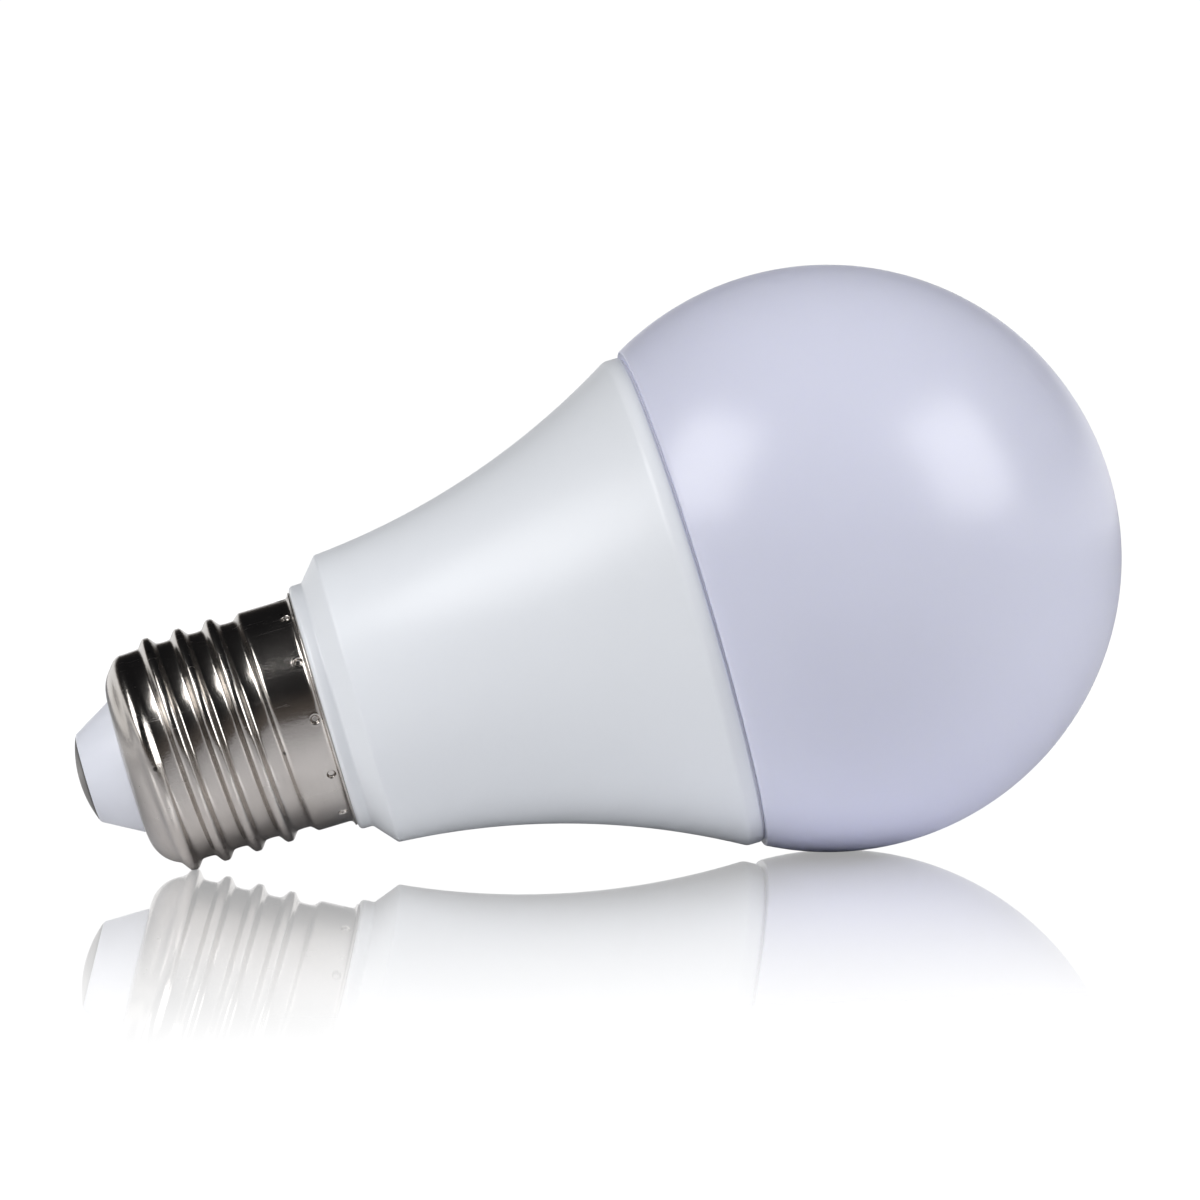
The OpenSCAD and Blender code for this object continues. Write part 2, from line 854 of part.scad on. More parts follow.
module filter_inductor() {
    flange_h = 1;
    color("sienna")
        lay()
            translate([-coil_d / 2 - 1, 0, coil_z])
                rotate([90, 0, 0])
                    turned([
                        [0, 0],
                        [coil_d / 2, 0],
                        [coil_d / 2, flange_h],
                        [coil_d / 2 - 0.5, flange_h],
                        [coil_d / 2 - 0.5, coil_h - flange_h],
                        [coil_d / 2, coil_h - flange_h],
                        [coil_d / 2, coil_h],
                        [0, coil_h]
                    ]);
}

module varistor() {
    disc_d = 6.6;
    disc_t = 3.2;
    color("royalblue")
        lay()
            translate([1.6, 0, coil_z]) {
                translate([0, -disc_d / 2 - 0.8, 0])
                    rotate([0, 90, 0])
                        cylinder(h = disc_t, d = disc_d, $fn = 48);
                for (side = [-1, 1])
                    translate([disc_t / 2, 0, side * 1.8])
                        rotate([90, 0, 0])
                            cylinder(h = disc_d / 2, d = wire_d, $fn = 16);
            }
}

module transformer_bobbin() {
    color("darkslategray")
        lay()
            translate([0, -core_h / 2 - 0.3, core_z + core_l / 2])
                rotate([0, 90, 0])
                    difference() {
                        union() {
                            cylinder(h = window_w - 2 * bobbin_wall, r = core_leg, center = true, $fn = 48);
                            for (side = [-1, 1])
                                translate([0, 0, side * (window_w / 2 - bobbin_wall / 2)])
                                    cube([core_l - 1, core_h + 0.6, bobbin_wall], center = true);
                        }
                        cylinder(h = window_w + cut, r = core_leg - bobbin_wall, center = true, $fn = 48);
                    }
}

module transformer_winding() {
    length = window_w - 2 * bobbin_wall - 2 * winding_gap;
    color("goldenrod")
        lay()
            translate([0, -core_h / 2 - 0.3, core_z + core_l / 2])
                rotate([0, 90, 0])
                    difference() {
                        cylinder(h = length, r = core_l / 2 - 0.7, center = true, $fn = 48);
                        cylinder(h = length + cut, r = core_leg + winding_gap, center = true, $fn = 48);
                    }
}

module transformer_core() {
    leg_r = core_leg - bobbin_wall - slip_gap;
    yoke = 2.3;
    color("dimgray")
        lay()
            translate([0, -core_h / 2 - 0.3, core_z + core_l / 2]) {
                rotate([0, 90, 0])
                    cylinder(h = core_w - yoke, r = leg_r, center = true, $fn = 48);
                for (side = [-1, 1])
                    translate([side * (core_w / 2 - yoke / 2), 0, 0])
                        cube([yoke, core_h - 1.5, core_l], center = true);
            }
}

module film_capacitor() {
    color("crimson")
        lay()
            block(
                [2, -9, pin_start_z - 7.5],
                [6.6, 0, pin_start_z - 0.3]
            );
}

module radio_board() {
    color("darkgreen")
        lay()
            block(
                [-radio_board_w / 2, radio_y, radio_z],
                [radio_board_w / 2, radio_back_y, radio_top_z]
            );
}

module radio_pins() {
    color("gold")
        lay()
            for (i = [-2:2])
                block(
                    [i * 2 - 0.25, driver_board_t, radio_z + 1],
                    [i * 2 + 0.25, radio_y, radio_z + 1.5]
                );
}

module radio_chip() {
    color("black")
        lay()
            block(
                [-2.5, radio_back_y, shield_z + 2],
                [2.5, radio_back_y + 0.9, shield_z + 7]
            );
}

module radio_shield() {
    color("silver")
        lay()
            difference() {
                block(
                    [-shield_w / 2, radio_back_y, shield_z],
                    [shield_w / 2, radio_back_y + shield_h, shield_z + shield_l]
                );
                block(
                    [-shield_w / 2 + shield_wall, radio_back_y - cut, shield_z + shield_wall],
                    [shield_w / 2 - shield_wall, radio_back_y + shield_h - shield_wall, shield_z + shield_l - shield_wall]
                );
            }
}

module antenna_trace() {
    runs = 5;
    step = (radio_board_w - 2) / runs;
    high = radio_top_z - 0.6;
    low = high - 4.5;
    color("peru")
        lay() {
            for (i = [0:runs])
                translate([-radio_board_w / 2 + 1 + i * step - trace_w / 2, radio_back_y, low])
                    cube([trace_w, trace_t, high - low]);
            for (i = [0:runs - 1])
                translate([-radio_board_w / 2 + 1 + i * step, radio_back_y, i % 2 == 0 ? high - trace_w : low])
                    cube([step, trace_t, trace_w]);
        }
}

module live_lead() {
    start = [-3, -lead_d / 2, driver_board_z + 1.6];
    color("firebrick")
        lay()
            bent_wire(
                start,
                start - [0, 0, 4],
                [0, 0, shank_top_z + 3.5],
                [0, 0, shank_top_z],
                lead_d / 2
            );
}

module neutral_lead() {
    outer = neck_r - lead_d / 2 + 0.1;
    dip = neck_z - 1.4;
    color("black")
        lay()
            rotate([0, 0, 90])
                bent_wire(
                    [driver_board_t + lead_d / 2, 0, driver_board_z + 1.6],
                    [driver_board_t + lead_d / 2, 0, dip],
                    [outer, 0, dip],
                    [outer, 0, neck_z + 4],
                    lead_d / 2
                );
}

center_contact();
cap_insulator();
screw_shell();
housing();
diffuser();
diffuser_seal();
heat_sink_cup();
thermal_pad();
lamp_board();
white_lamps();
colour_lamps();
board_screws();
lamp_socket();
lamp_pins();
driver_board();
fuse_resistor();
bridge_rectifier();
input_capacitor();
filter_inductor();
varistor();
driver_chip();
dimming_transistors();
transformer_bobbin();
transformer_winding();
transformer_core();
output_capacitor();
film_capacitor();
radio_board();
radio_pins();
radio_chip();
radio_shield();
antenna_trace();
live_lead();
neutral_lead();
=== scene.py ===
"""A wireless LED light bulb with an E27 screw cap, lying on its side on a glossy white table.

Run as a script it builds the bulb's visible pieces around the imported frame, gives every
piece its finish, and sets up a small white studio. Each step is an operator of its own.
"""
import json
from math import acos, asin, atan2, ceil, cos, degrees, exp, floor, hypot, pi, radians, sin, sqrt
from types import SimpleNamespace

import bmesh
import bpy
from mathutils import Matrix, Vector


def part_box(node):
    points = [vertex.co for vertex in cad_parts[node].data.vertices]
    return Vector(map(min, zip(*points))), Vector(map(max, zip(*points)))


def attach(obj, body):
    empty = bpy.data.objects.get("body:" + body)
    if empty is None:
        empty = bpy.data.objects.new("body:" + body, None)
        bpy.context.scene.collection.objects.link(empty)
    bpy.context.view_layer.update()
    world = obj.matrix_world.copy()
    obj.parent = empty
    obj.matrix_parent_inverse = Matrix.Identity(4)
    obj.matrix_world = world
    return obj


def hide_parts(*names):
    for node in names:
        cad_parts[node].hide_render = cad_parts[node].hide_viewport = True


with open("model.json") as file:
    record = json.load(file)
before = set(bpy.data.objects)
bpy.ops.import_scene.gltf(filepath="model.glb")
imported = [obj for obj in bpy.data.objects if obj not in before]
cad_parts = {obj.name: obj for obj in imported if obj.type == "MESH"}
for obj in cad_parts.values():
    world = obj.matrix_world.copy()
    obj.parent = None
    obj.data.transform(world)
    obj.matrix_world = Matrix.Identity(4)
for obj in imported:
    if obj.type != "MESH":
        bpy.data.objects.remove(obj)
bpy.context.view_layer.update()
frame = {"nodes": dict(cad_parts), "record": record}

bl_info = {
    "name": "Wireless LED bulb",
    "version": (1, 0, 0),
    "blender": (4, 5, 0),
    "location": "View3D > Sidebar > Bulb",
    "description": "Builds a wireless LED bulb with an E27 cap and a small white studio",
    "category": "Object",
}

MM = 0.001
ROUND_STEPS = 240

# Small details of the bulb, in millimetres.
BEND = 0.5                      # inner radius of the bend between the skirt and the flange
TURNED_EDGE = 0.16              # rounding of the contact's and the globe's outer edges
FACE_GAP = 0.02                 # between the contact's head and the insulator
SEAT_GAP = 0.2                  # between the housing and the inside of the skirt
SNAP_INSET = 1.5                # from the outside of the flare's end to its bore
GROOVE_RISE = 0.9               # from the end of the snap skirt to the middle of its groove
THREAD_ROW, SKIRT_ROW = 0.13, 0.28

# Where the thread grows and fades, in turns from its first crest.
CREST_RUN_IN = (-0.75, -0.1)
CREST_RUN_OUT = (3.05, 3.45)
VALLEY_RUN_OUT = (3.6, 3.95)
BEAD_SIDE = (0.05, 0.32)        # where the rolled bead's side falls, in parts of a pitch
BEAD_SHARE = 0.85               # share of the bead in the ridge; the rest is a plain wave


# ---------------------------------------------------------------- the bulb's own frame

def mount(name):
    """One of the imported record's mounts."""
    return next(m for m in frame["record"]["mounts"] if m["name"] == name)


TIP = Vector(mount("centre_contact")["pos_m"])
UP_BULB = -Vector(mount("centre_contact")["axis"]).normalized()
SIDE_BULB = Vector((0, 1, 0))
FLOOR_BULB = SIDE_BULB.cross(UP_BULB)
TILT = atan2(UP_BULB.z, UP_BULB.x)


def bulb_frame():
    """Turns millimetres along the bulb's own axis into metres in the row frame."""
    turn = Matrix((FLOOR_BULB, SIDE_BULB, UP_BULB)).transposed().to_4x4()
    return Matrix.Translation(TIP) @ turn @ Matrix.Scale(MM, 4)


def in_bulb(point):
    """A point of the row frame in metres along the bulb's own axes."""
    moved = Vector(point) - TIP
    return Vector((moved.dot(FLOOR_BULB), moved.dot(SIDE_BULB), moved.dot(UP_BULB)))


# ---------------------------------------------------------------- sizes and colours

def length(name, description, millimetres):
    """A length in metres, given in millimetres."""
    return bpy.props.FloatProperty(
        name=name,
        description=description,
        default=millimetres * MM,
        min=0.0,
        precision=5,
        subtype="DISTANCE",
        unit="LENGTH",
    )


def paint(name, description, red, green, blue):
    """A colour that the user can change."""
    return bpy.props.FloatVectorProperty(
        name=name,
        description=description,
        default=(red, green, blue),
        size=3,
        min=0.0,
        max=1.0,
        subtype="COLOR",
    )


class CapSizes(bpy.types.PropertyGroup):
    """Sizes of the screw cap, its contact and its insulator."""
    pitch: length("Pitch", "Rise of one turn of the thread", 3.629)
    crest: length("Crest diameter", "Diameter over the thread crests", 26.05)
    root: length("Root diameter", "Diameter at the thread roots", 24.1)
    first_crest: length("First crest", "Height of the first full crest on the floor side", 9.5)
    skirt: length("Skirt diameter", "Diameter of the plain skirt above the thread", 25.5)
    sheet: length("Sheet", "Thickness of the shell's sheet metal", 0.3)
    bottom: length("Shell bottom", "Height of the shell's flat bottom", 5.5)
    corner: length("Bottom corner", "Radius of the rounded edge around the bottom", 4.05)
    mouth: length("Shell mouth", "Diameter of the hole in the shell's bottom", 15.2)
    flange_height: length("Flange height", "Where the flange meets the housing", 27.95)
    flange: length("Flange diameter", "Diameter of the turned-out flange", 26.7)
    stake: length("Staking mark", "Diameter of one staking mark", 1.1)
    stake_depth: length("Staking depth", "Depth of one staking mark", 0.38)
    stake_drop: length("Staking drop", "Distance from the flange to the staking marks", 1.15)
    contact: length("Contact diameter", "Diameter of the contact's head", 9.5)
    contact_dome: length("Contact dome", "Height of the contact's dome", 0.9)
    shank: length("Shank diameter", "Diameter of the contact's shank", 3.0)
    shank_top: length("Shank top", "Height at which the shank ends", 6.2)
    nose: length("Insulator nose", "Diameter of the insulator's front face", 9.9)
    front_wall: length("Insulator front", "Thickness of the insulator's front wall", 3.4)
    collar: length("Insulator collar", "Height of the insulator's collar in the shell", 1.8)
    stake_count: bpy.props.IntProperty(
        name="Staking marks", description="Number of marks around the skirt", default=12, min=1
    )
    thread_turns: bpy.props.FloatProperty(
        name="Thread turns", description="Turns from the first crest to the skirt", default=4.35
    )


class BodySizes(bpy.types.PropertyGroup):
    """Sizes of the housing, the globe and the seam between them."""
    globe: length("Globe diameter", "Outside diameter of the round globe", 65.0)
    mouth: length("Mouth diameter", "Diameter of the globe at the seam", 56.9)
    rim: length("Rim height", "Height of the housing's rim above the contact tip", 70.1)
    seam: length("Seam", "Gap at the seam, filled by the sealing bead", 0.25)
    collar: length("Collar diameter", "Diameter of the small collar above the flange", 27.9)
    collar_length: length("Collar length", "Length of the small collar", 1.55)
    collar_edge: length("Collar edge", "Radius of the collar's rounded edge", 0.55)
    shoulder: length("Shoulder diameter", "Diameter at the top of the shoulder", 33.0)
    shoulder_length: length("Shoulder length", "Length of the conical shoulder", 2.2)
    flare: length("Flare diameter", "Diameter at the end of the flare", 55.4)
    flare_radius: length("Flare radius", "Radius of the hollow curve of the flare", 84.0)
    lip: length("Lip radius", "Radius of the rounded lip", 1.4)
    lip_edge: length("Lip edge", "Radius of the lip's small outer edge", 0.25)
    lip_height: length("Lip height", "Height of the lip above the flare", 2.0)
    wall: length("Housing wall", "Wall of the housing", 1.3)
    neck_wall: length("Neck wall", "Wall of the neck inside the shell", 1.5)
    neck_start: length("Neck start", "Height of the neck's open end", 9.0)
    globe_wall: length("Globe wall", "Wall of the globe", 1.3)
    snap: length("Snap depth", "Depth of the skirt that snaps into the housing", 2.8)
    snap_wall: length("Snap wall", "Wall of the snap skirt", 1.2)
    bead: length("Snap bead", "Height of the snap bead", 0.3)


class Finishes(bpy.types.PropertyGroup):
    """Colours of what shows on the outside."""
    nickel: paint("Nickel", "Rolled nickel-plated sheet", 0.61, 0.575, 0.54)
    cap: paint("Cap plastic", "Insulator of the cap", 0.82, 0.84, 0.90)
    housing: paint("Housing", "Satin white moulding", 0.83, 0.855, 0.875)
    globe: paint("Globe", "Milky polycarbonate", 0.745, 0.765, 0.99)
    seal: paint("Seal", "Clear-white silicone", 0.80, 0.80, 0.86)
    floor: paint("Table", "Glossy white table", 0.92, 0.92, 0.93)


class StudioSettings(bpy.types.PropertyGroup):
    """Camera and lights."""
    lens: bpy.props.FloatProperty(
        name="Lens", description="Focal length", default=163.98, subtype="DISTANCE_CAMERA"
    )
    azimuth: bpy.props.FloatProperty(
        name="Azimuth",
        description="Where the camera stands around the bulb",
        default=radians(-3.596),
        subtype="ANGLE",
    )
    elevation: bpy.props.FloatProperty(
        name="Elevation",
        description="Angle of the camera above the table",
        default=radians(2.822),
        subtype="ANGLE",
    )
    roll: bpy.props.FloatProperty(
        name="Roll", description="Lean of the camera", default=radians(-1.304), subtype="ANGLE"
    )
    distance: length("Distance", "From the camera to the bulb", 604.2)
    aim_x: bpy.props.FloatProperty(
        name="Aim along X", description="Point looked at", default=0.00022, unit="LENGTH"
    )
    aim_z: length("Aim height", "Height of the point looked at", 28.55)
    box_power: bpy.props.FloatProperty(
        name="Soft box power", description="Power of each soft box", default=4.55, unit="POWER"
    )


def cap():
    """The cap's sizes in this scene."""
    return bpy.context.scene.bulb_cap


def body():
    """The sizes of the housing, the globe and the seam in this scene."""
    return bpy.context.scene.bulb_body


def finishes():
    """The outside's colours in this scene."""
    return bpy.context.scene.bulb_finishes


# ---------------------------------------------------------------- outlines

def fade(low, high, x):
    """Smooth step from 0 at low to 1 at high."""
    t = min(1.0, max(0.0, (x - low) / (high - low)))
    return t * t * (3 - 2 * t)


def mix(a, b, t):
    """A value between two others."""
    return a + (b - a) * t


def arc(centre, radius, start, end, steps):
    """Points of an arc, by angle in degrees."""
    angles = [radians(mix(start, end, i / steps)) for i in range(steps + 1)]
    return [(centre[0] + radius * cos(a), centre[1] + radius * sin(a)) for a in angles]


def softened(corners, steps=4):
    """An outline whose corners, given as (radius, height, rounding), are rounded off."""
    outline = []
    for i, (r, z, rounding) in enumerate(corners):
        here = Vector((r, z))
        before = Vector(corners[i - 1][:2]) - here
        after = Vector(corners[(i + 1) % len(corners)][:2]) - here
        if not rounding:
            outline.append((r, z))
            continue
        start = here + before.normalized() * min(rounding, before.length * 0.45)
        end = here + after.normalized() * min(rounding, after.length * 0.45)
        for k in range(steps + 1):
            t = k / steps
            point = (1 - t) ** 2 * start + 2 * t * (1 - t) * here + t * t * end
            outline.append(tuple(point))
    return outline


def heading(start, end):
    """Angle in degrees of the way from one point of an outline to another."""
    return degrees(atan2(end[1] - start[1], end[0] - start[0]))


def spun(outline, closed=True):
    """A bmesh turned around the bulb's axis from an outline of (radius, height)."""
    bm = bmesh.new()
    points = [bm.verts.new((r, 0, z)) for r, z in outline]
    ends = points[1:] + points[:1] if closed else points[1:]
    sides = [bm.edges.new(pair) for pair in zip(points, ends)]
    bmesh.ops.spin(
        bm,
        geom=points + sides,
        axis=(0, 0, 1),
        cent=(0, 0, 0),
        steps=ROUND_STEPS,
        angle=2 * pi,
        use_merge=True,
    )
    bmesh.ops.remove_doubles(bm, verts=bm.verts, dist=0.0005)
    bmesh.ops.recalc_face_normals(bm, faces=bm.faces)
    return bm


def piece(name, bm, material, slot, *nodes):
    """Makes the bulb's bmesh an object, in place of some CAD nodes."""
    bmesh.ops.transform(bm, matrix=bulb_frame(), verts=bm.verts)
    mesh = bpy.data.meshes.new(name)
    bm.to_mesh(mesh)
    bm.free()
    mesh.shade_smooth()
    mesh.materials.append(material)
    made = bpy.data.objects.new(name, mesh)
    bpy.context.collection.objects.link(made)
    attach(made, "root")
    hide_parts(*nodes)


# ---------------------------------------------------------------- shader helpers

def add(tree, kind, inputs=None, **settings):
    """Adds a node; each input is a value or the socket that feeds it."""
    made = tree.nodes.new(kind)
    for key, value in settings.items():
        setattr(made, key, value)
    for socket, value in (inputs or {}).items():
        if isinstance(value, bpy.types.NodeSocket):
            tree.links.new(value, made.inputs[socket])
        else:
            made.inputs[socket].default_value = value
    return made


def maths(tree, operation, *values):
    """The result of a sum on values or sockets."""
    return add(tree, "ShaderNodeMath", dict(enumerate(values)), operation=operation).outputs[0]


def vector_maths(tree, operation, *values):
    """The result of a sum on vectors or their sockets."""
    return add(
        tree, "ShaderNodeVectorMath", dict(enumerate(values)), operation=operation
    ).outputs[0]


def remap(tree, value, low, high, to_low=0.0, to_high=1.0):
    """Smooth map of a value from one range to another."""
    return add(
        tree,
        "ShaderNodeMapRange",
        {0: value, 1: low, 2: high, 3: to_low, 4: to_high},
        interpolation_type="SMOOTHSTEP",
    ).outputs[0]


def blend_colours(tree, factor, first, second):
    """Mixes two colours."""
    made = add(tree, "ShaderNodeMix", {0: factor}, data_type="RGBA")
    for socket, value in ((6, first), (7, second)):
        if isinstance(value, bpy.types.NodeSocket):
            tree.links.new(value, made.inputs[socket])
        else:
            made.inputs[socket].default_value = (*value, 1.0)
    return made.outputs[2]


def tinted(colour, factor):
    """A colour made lighter or darker."""
    return tuple(min(1.0, c * factor) for c in colour)


def new_group(name, inputs, outputs):
    """An empty shader group and its two end nodes."""
    tree = bpy.data.node_groups.new(name, "ShaderNodeTree")
    for label, kind, default in inputs:
        socket = tree.interface.new_socket(label, in_out="INPUT", socket_type=kind)
        if default is not None:
            socket.default_value = default
    for label, kind in outputs:
        tree.interface.new_socket(label, in_out="OUTPUT", socket_type=kind)
    return tree, tree.nodes.new("NodeGroupInput"), tree.nodes.new("NodeGroupOutput")


def grain_group():
    """Fine moulded or plated texture: a height, and a slow cloudiness over the piece."""
    tree, start, end = new_group(
        "surface_grain",
        [
            ("Vector", "NodeSocketVector", None),
            ("Grain", "NodeSocketFloat", 2500.0),
            ("Cloud", "NodeSocketFloat", 60.0),
        ],
        [("Height", "NodeSocketFloat"), ("Cloud", "NodeSocketFloat")],
    )
    fine = add(
        tree,
        "ShaderNodeTexNoise",
        {"Vector": start.outputs[0], "Scale": start.outputs[1], "Detail": 3.0, "Roughness": 0.6},
    )
    slow = add(
        tree,
        "ShaderNodeTexNoise",
        {"Vector": start.outputs[0], "Scale": start.outputs[2], "Detail": 4.0},
    )
    tree.links.new(fine.outputs[0], end.inputs[0])
    tree.links.new(slow.outputs[0], end.inputs[1])
    return tree


def speck_group():
    """Sparse tiny specks of dust: a mask."""
    tree, start, end = new_group(
        "dust_specks",
        [
            ("Vector", "NodeSocketVector", None),
            ("Scale", "NodeSocketFloat", 160.0),
            ("Size", "NodeSocketFloat", 0.03),
            ("Share", "NodeSocketFloat", 0.2),
        ],
        [("Mask", "NodeSocketFloat")],
    )
    cells = add(
        tree, "ShaderNodeTexVoronoi", {"Vector": start.outputs[0], "Scale": start.outputs[1]}
    )
    number = add(tree, "ShaderNodeSeparateColor", {0: cells.outputs["Color"]})
    radius = maths(tree, "MULTIPLY", start.outputs[2], number.outputs[1])
    near = maths(tree, "LESS_THAN", cells.outputs["Distance"], radius)
    chosen = maths(tree, "LESS_THAN", number.outputs[0], start.outputs[3])
    tree.links.new(maths(tree, "MULTIPLY", near, chosen), end.inputs[0])
    return tree


def scratch_group():
    """Hairline scratches that run one way: a mask, and their height."""
    tree, start, end = new_group(
        "hairlines",
        [
            ("Vector", "NodeSocketVector", None),
            ("Scale", "NodeSocketFloat", 900.0),
            ("Stretch", "NodeSocketVector", (0.02, 0.02, 1.0)),
        ],
        [("Mask", "NodeSocketFloat"), ("Height", "NodeSocketFloat")],
    )
    drawn = vector_maths(tree, "MULTIPLY", start.outputs[0], start.outputs[2])
    lines = add(
        tree,
        "ShaderNodeTexNoise",
        {"Vector": drawn, "Scale": start.outputs[1], "Detail": 6.0, "Roughness": 0.7},
    )
    mask = remap(tree, lines.outputs[0], 0.56, 0.72)
    tree.links.new(mask, end.inputs[0])
    tree.links.new(lines.outputs[0], end.inputs[1])
    return tree


def group(tree, name, **inputs):
    """Places one of the shared effects; each is built the first time it is asked for."""
    makers = {
        "surface_grain": grain_group,
        "dust_specks": speck_group,
        "hairlines": scratch_group,
    }
    made = tree.nodes.new("ShaderNodeGroup")
    made.node_tree = bpy.data.node_groups.get(name) or makers[name]()
    for socket, value in inputs.items():
        if isinstance(value, bpy.types.NodeSocket):
            tree.links.new(value, made.inputs[socket])
        else:
            made.inputs[socket].default_value = value
    return made


def new_material(name, **constants):
    """A material with a Principled shader; its constants are set on the shader's own sockets."""
    material = bpy.data.materials.new(name)
    material.use_nodes = True
    tree = material.node_tree
    shader = tree.nodes["Principled BSDF"]
    for socket, value in constants.items():
        shader.inputs[socket.replace("_", " ")].default_value = value
    place = tree.nodes.new("ShaderNodeTexCoord").outputs["Object"]
    return material, tree, shader, place


def bulb_place(tree, place):
    """Object coordinates in metres, turned and moved to run along the bulb's own axis."""
    moved = vector_maths(tree, "SUBTRACT", place, tuple(TIP))
    return add(
        tree,
        "ShaderNodeMapping",
        {"Vector": moved, "Rotation": (0, TILT - pi / 2, 0)},
    ).outputs[0]


def bumped(tree, shader, height, strength, distance):
    """Feeds a height to the shader's normal."""
    bump = add(
        tree,
        "ShaderNodeBump",
        {"Height": height, "Strength": strength, "Distance": distance},
    )
    tree.links.new(bump.outputs[0], shader.inputs["Normal"])


def varied_roughness(tree, shader, value, low, high):
    """Lets a slow pattern vary the roughness between two values."""
    tree.links.new(remap(tree, value, 0.1, 0.9, low, high), shader.inputs["Roughness"])


# ---------------------------------------------------------------- finishes of the outside

def nickel():
    """Rolled nickel-plated sheet: hairlines around the axis, orange peel and a warm haze."""
    made, tree, shader, place = new_material("rolled_nickel", Metallic=1.0)
    along = bulb_place(tree, place)
    grain = group(tree, "surface_grain", Vector=along, Grain=3200.0, Cloud=140.0)
    lines = group(tree, "hairlines", Vector=along, Scale=4200.0, Stretch=(0.06, 0.06, 1.0))
    nicks = group(tree, "hairlines", Vector=along, Scale=2400.0, Stretch=(1.0, 1.0, 0.05))
    specks = group(tree, "dust_specks", Vector=along, Scale=420.0, Size=0.16, Share=0.25)
    base = finishes().nickel
    haze = remap(tree, grain.outputs[1], 0.2, 0.8)
    colour = blend_colours(tree, haze, base, tinted(base, 0.86))
    marked = maths(tree, "MULTIPLY", lines.outputs[0], 0.3)
    colour = blend_colours(tree, marked, colour, tinted(base, 0.6))
    colour = blend_colours(tree, specks.outputs[0], colour, tinted(base, 0.3))
    tree.links.new(colour, shader.inputs["Base Color"])
    rough = remap(tree, grain.outputs[1], 0.1, 0.9, 0.15, 0.24)
    rough = maths(tree, "ADD", rough, maths(tree, "MULTIPLY", nicks.outputs[0], 0.12))
    tree.links.new(rough, shader.inputs["Roughness"])
    height = maths(tree, "ADD", grain.outputs[0], maths(tree, "MULTIPLY", lines.outputs[1], 0.5))
    bumped(tree, shader, height, 0.38, 0.00003)
    return made


def dull_nickel_painted_rim():
    """The contact's older, duller plating, with painted shade: a dark rim painted towards its
    turned edge.
    """
    made, tree, shader, place = new_material("dull_nickel_painted_rim", Metallic=1.0)
    along = bulb_place(tree, place)
    grain = group(tree, "surface_grain", Vector=along, Grain=1800.0, Cloud=260.0)
    lines = group(tree, "hairlines", Vector=along, Scale=2600.0, Stretch=(1.0, 0.08, 1.0))
    axes = add(tree, "ShaderNodeSeparateXYZ", {0: along}).outputs
    # painted shade: this mask runs up the dome's outer ring to its turned edge
    edge = remap(tree, axes[2], 0.6 * MM, 0.95 * MM)
    base = tinted(finishes().nickel, 0.47)
    colour = blend_colours(tree, grain.outputs[1], tinted(base, 1.1), tinted(base, 0.85))
    colour = blend_colours(tree, lines.outputs[0], colour, tinted(base, 0.7))
    # painted shade: the dark rim, a quarter of the base colour
    colour = blend_colours(tree, edge, colour, tinted(base, 0.25))
    tree.links.new(colour, shader.inputs["Base Color"])
    varied_roughness(tree, shader, grain.outputs[1], 0.26, 0.4)
    bumped(tree, shader, grain.outputs[0], 0.4, 0.00003)
    return made


def housing_plastic():
    """Satin white moulding with a fine grain and a few specks."""
    made, tree, shader, place = new_material(
        "satin_white_moulding",
        Subsurface_Weight=0.15,
        Subsurface_Radius=(0.004, 0.004, 0.004),
        Subsurface_Scale=0.5,
        IOR=1.5,
    )
    along = bulb_place(tree, place)
    grain = group(tree, "surface_grain", Vector=along, Grain=3000.0, Cloud=35.0)
    specks = group(tree, "dust_specks", Vector=along, Scale=170.0, Size=0.032, Share=0.10)
    base = finishes().housing
    colour = blend_colours(tree, grain.outputs[1], tinted(base, 1.02), tinted(base, 0.97))
    colour = blend_colours(tree, specks.outputs[0], colour, tinted(base, 0.62))
    tree.links.new(colour, shader.inputs["Base Color"])
    varied_roughness(tree, shader, grain.outputs[1], 0.32, 0.39)
    bumped(tree, shader, grain.outputs[0], 0.12, 0.00003)
    return made


def globe_plastic():
    """Milky polycarbonate: light spreads inside it, and its skin has a soft shine."""
    made, tree, shader, place = new_material(
        "milky_polycarbonate",
        Subsurface_Weight=0.5,
        Subsurface_Radius=(0.006, 0.006, 0.007),
        Subsurface_Scale=0.8,
        IOR=1.53,
    )
    along = bulb_place(tree, place)
    grain = group(tree, "surface_grain", Vector=along, Grain=2200.0, Cloud=22.0)
    specks = group(tree, "dust_specks", Vector=along, Scale=150.0, Size=0.03, Share=0.07)
    base = finishes().globe
    colour = blend_colours(tree, grain.outputs[1], tinted(base, 1.015), tinted(base, 0.98))
    colour = blend_colours(tree, specks.outputs[0], colour, tinted(base, 0.7))
    tree.links.new(colour, shader.inputs["Base Color"])
    varied_roughness(tree, shader, grain.outputs[1], 0.27, 0.32)
    bumped(tree, shader, grain.outputs[0], 0.04, 0.00003)
    return made


def seal_silicone():
    """Clear-white silicone bead, slightly wavy from the nozzle."""
    made, tree, shader, place = new_material(
        "clear_white_silicone",
        Subsurface_Weight=0.4,
        Subsurface_Radius=(0.5, 0.5, 0.55),
        Subsurface_Scale=0.001,
        IOR=1.41,
    )
    along = bulb_place(tree, place)
    grain = group(tree, "surface_grain", Vector=along, Grain=700.0, Cloud=120.0)
    base = finishes().seal
    colour = blend_colours(tree, grain.outputs[1], base, tinted(base, 0.9))
    tree.links.new(colour, shader.inputs["Base Color"])
    varied_roughness(tree, shader, grain.outputs[1], 0.25, 0.4)
    bumped(tree, shader, grain.outputs[0], 0.4, 0.0001)
    return made


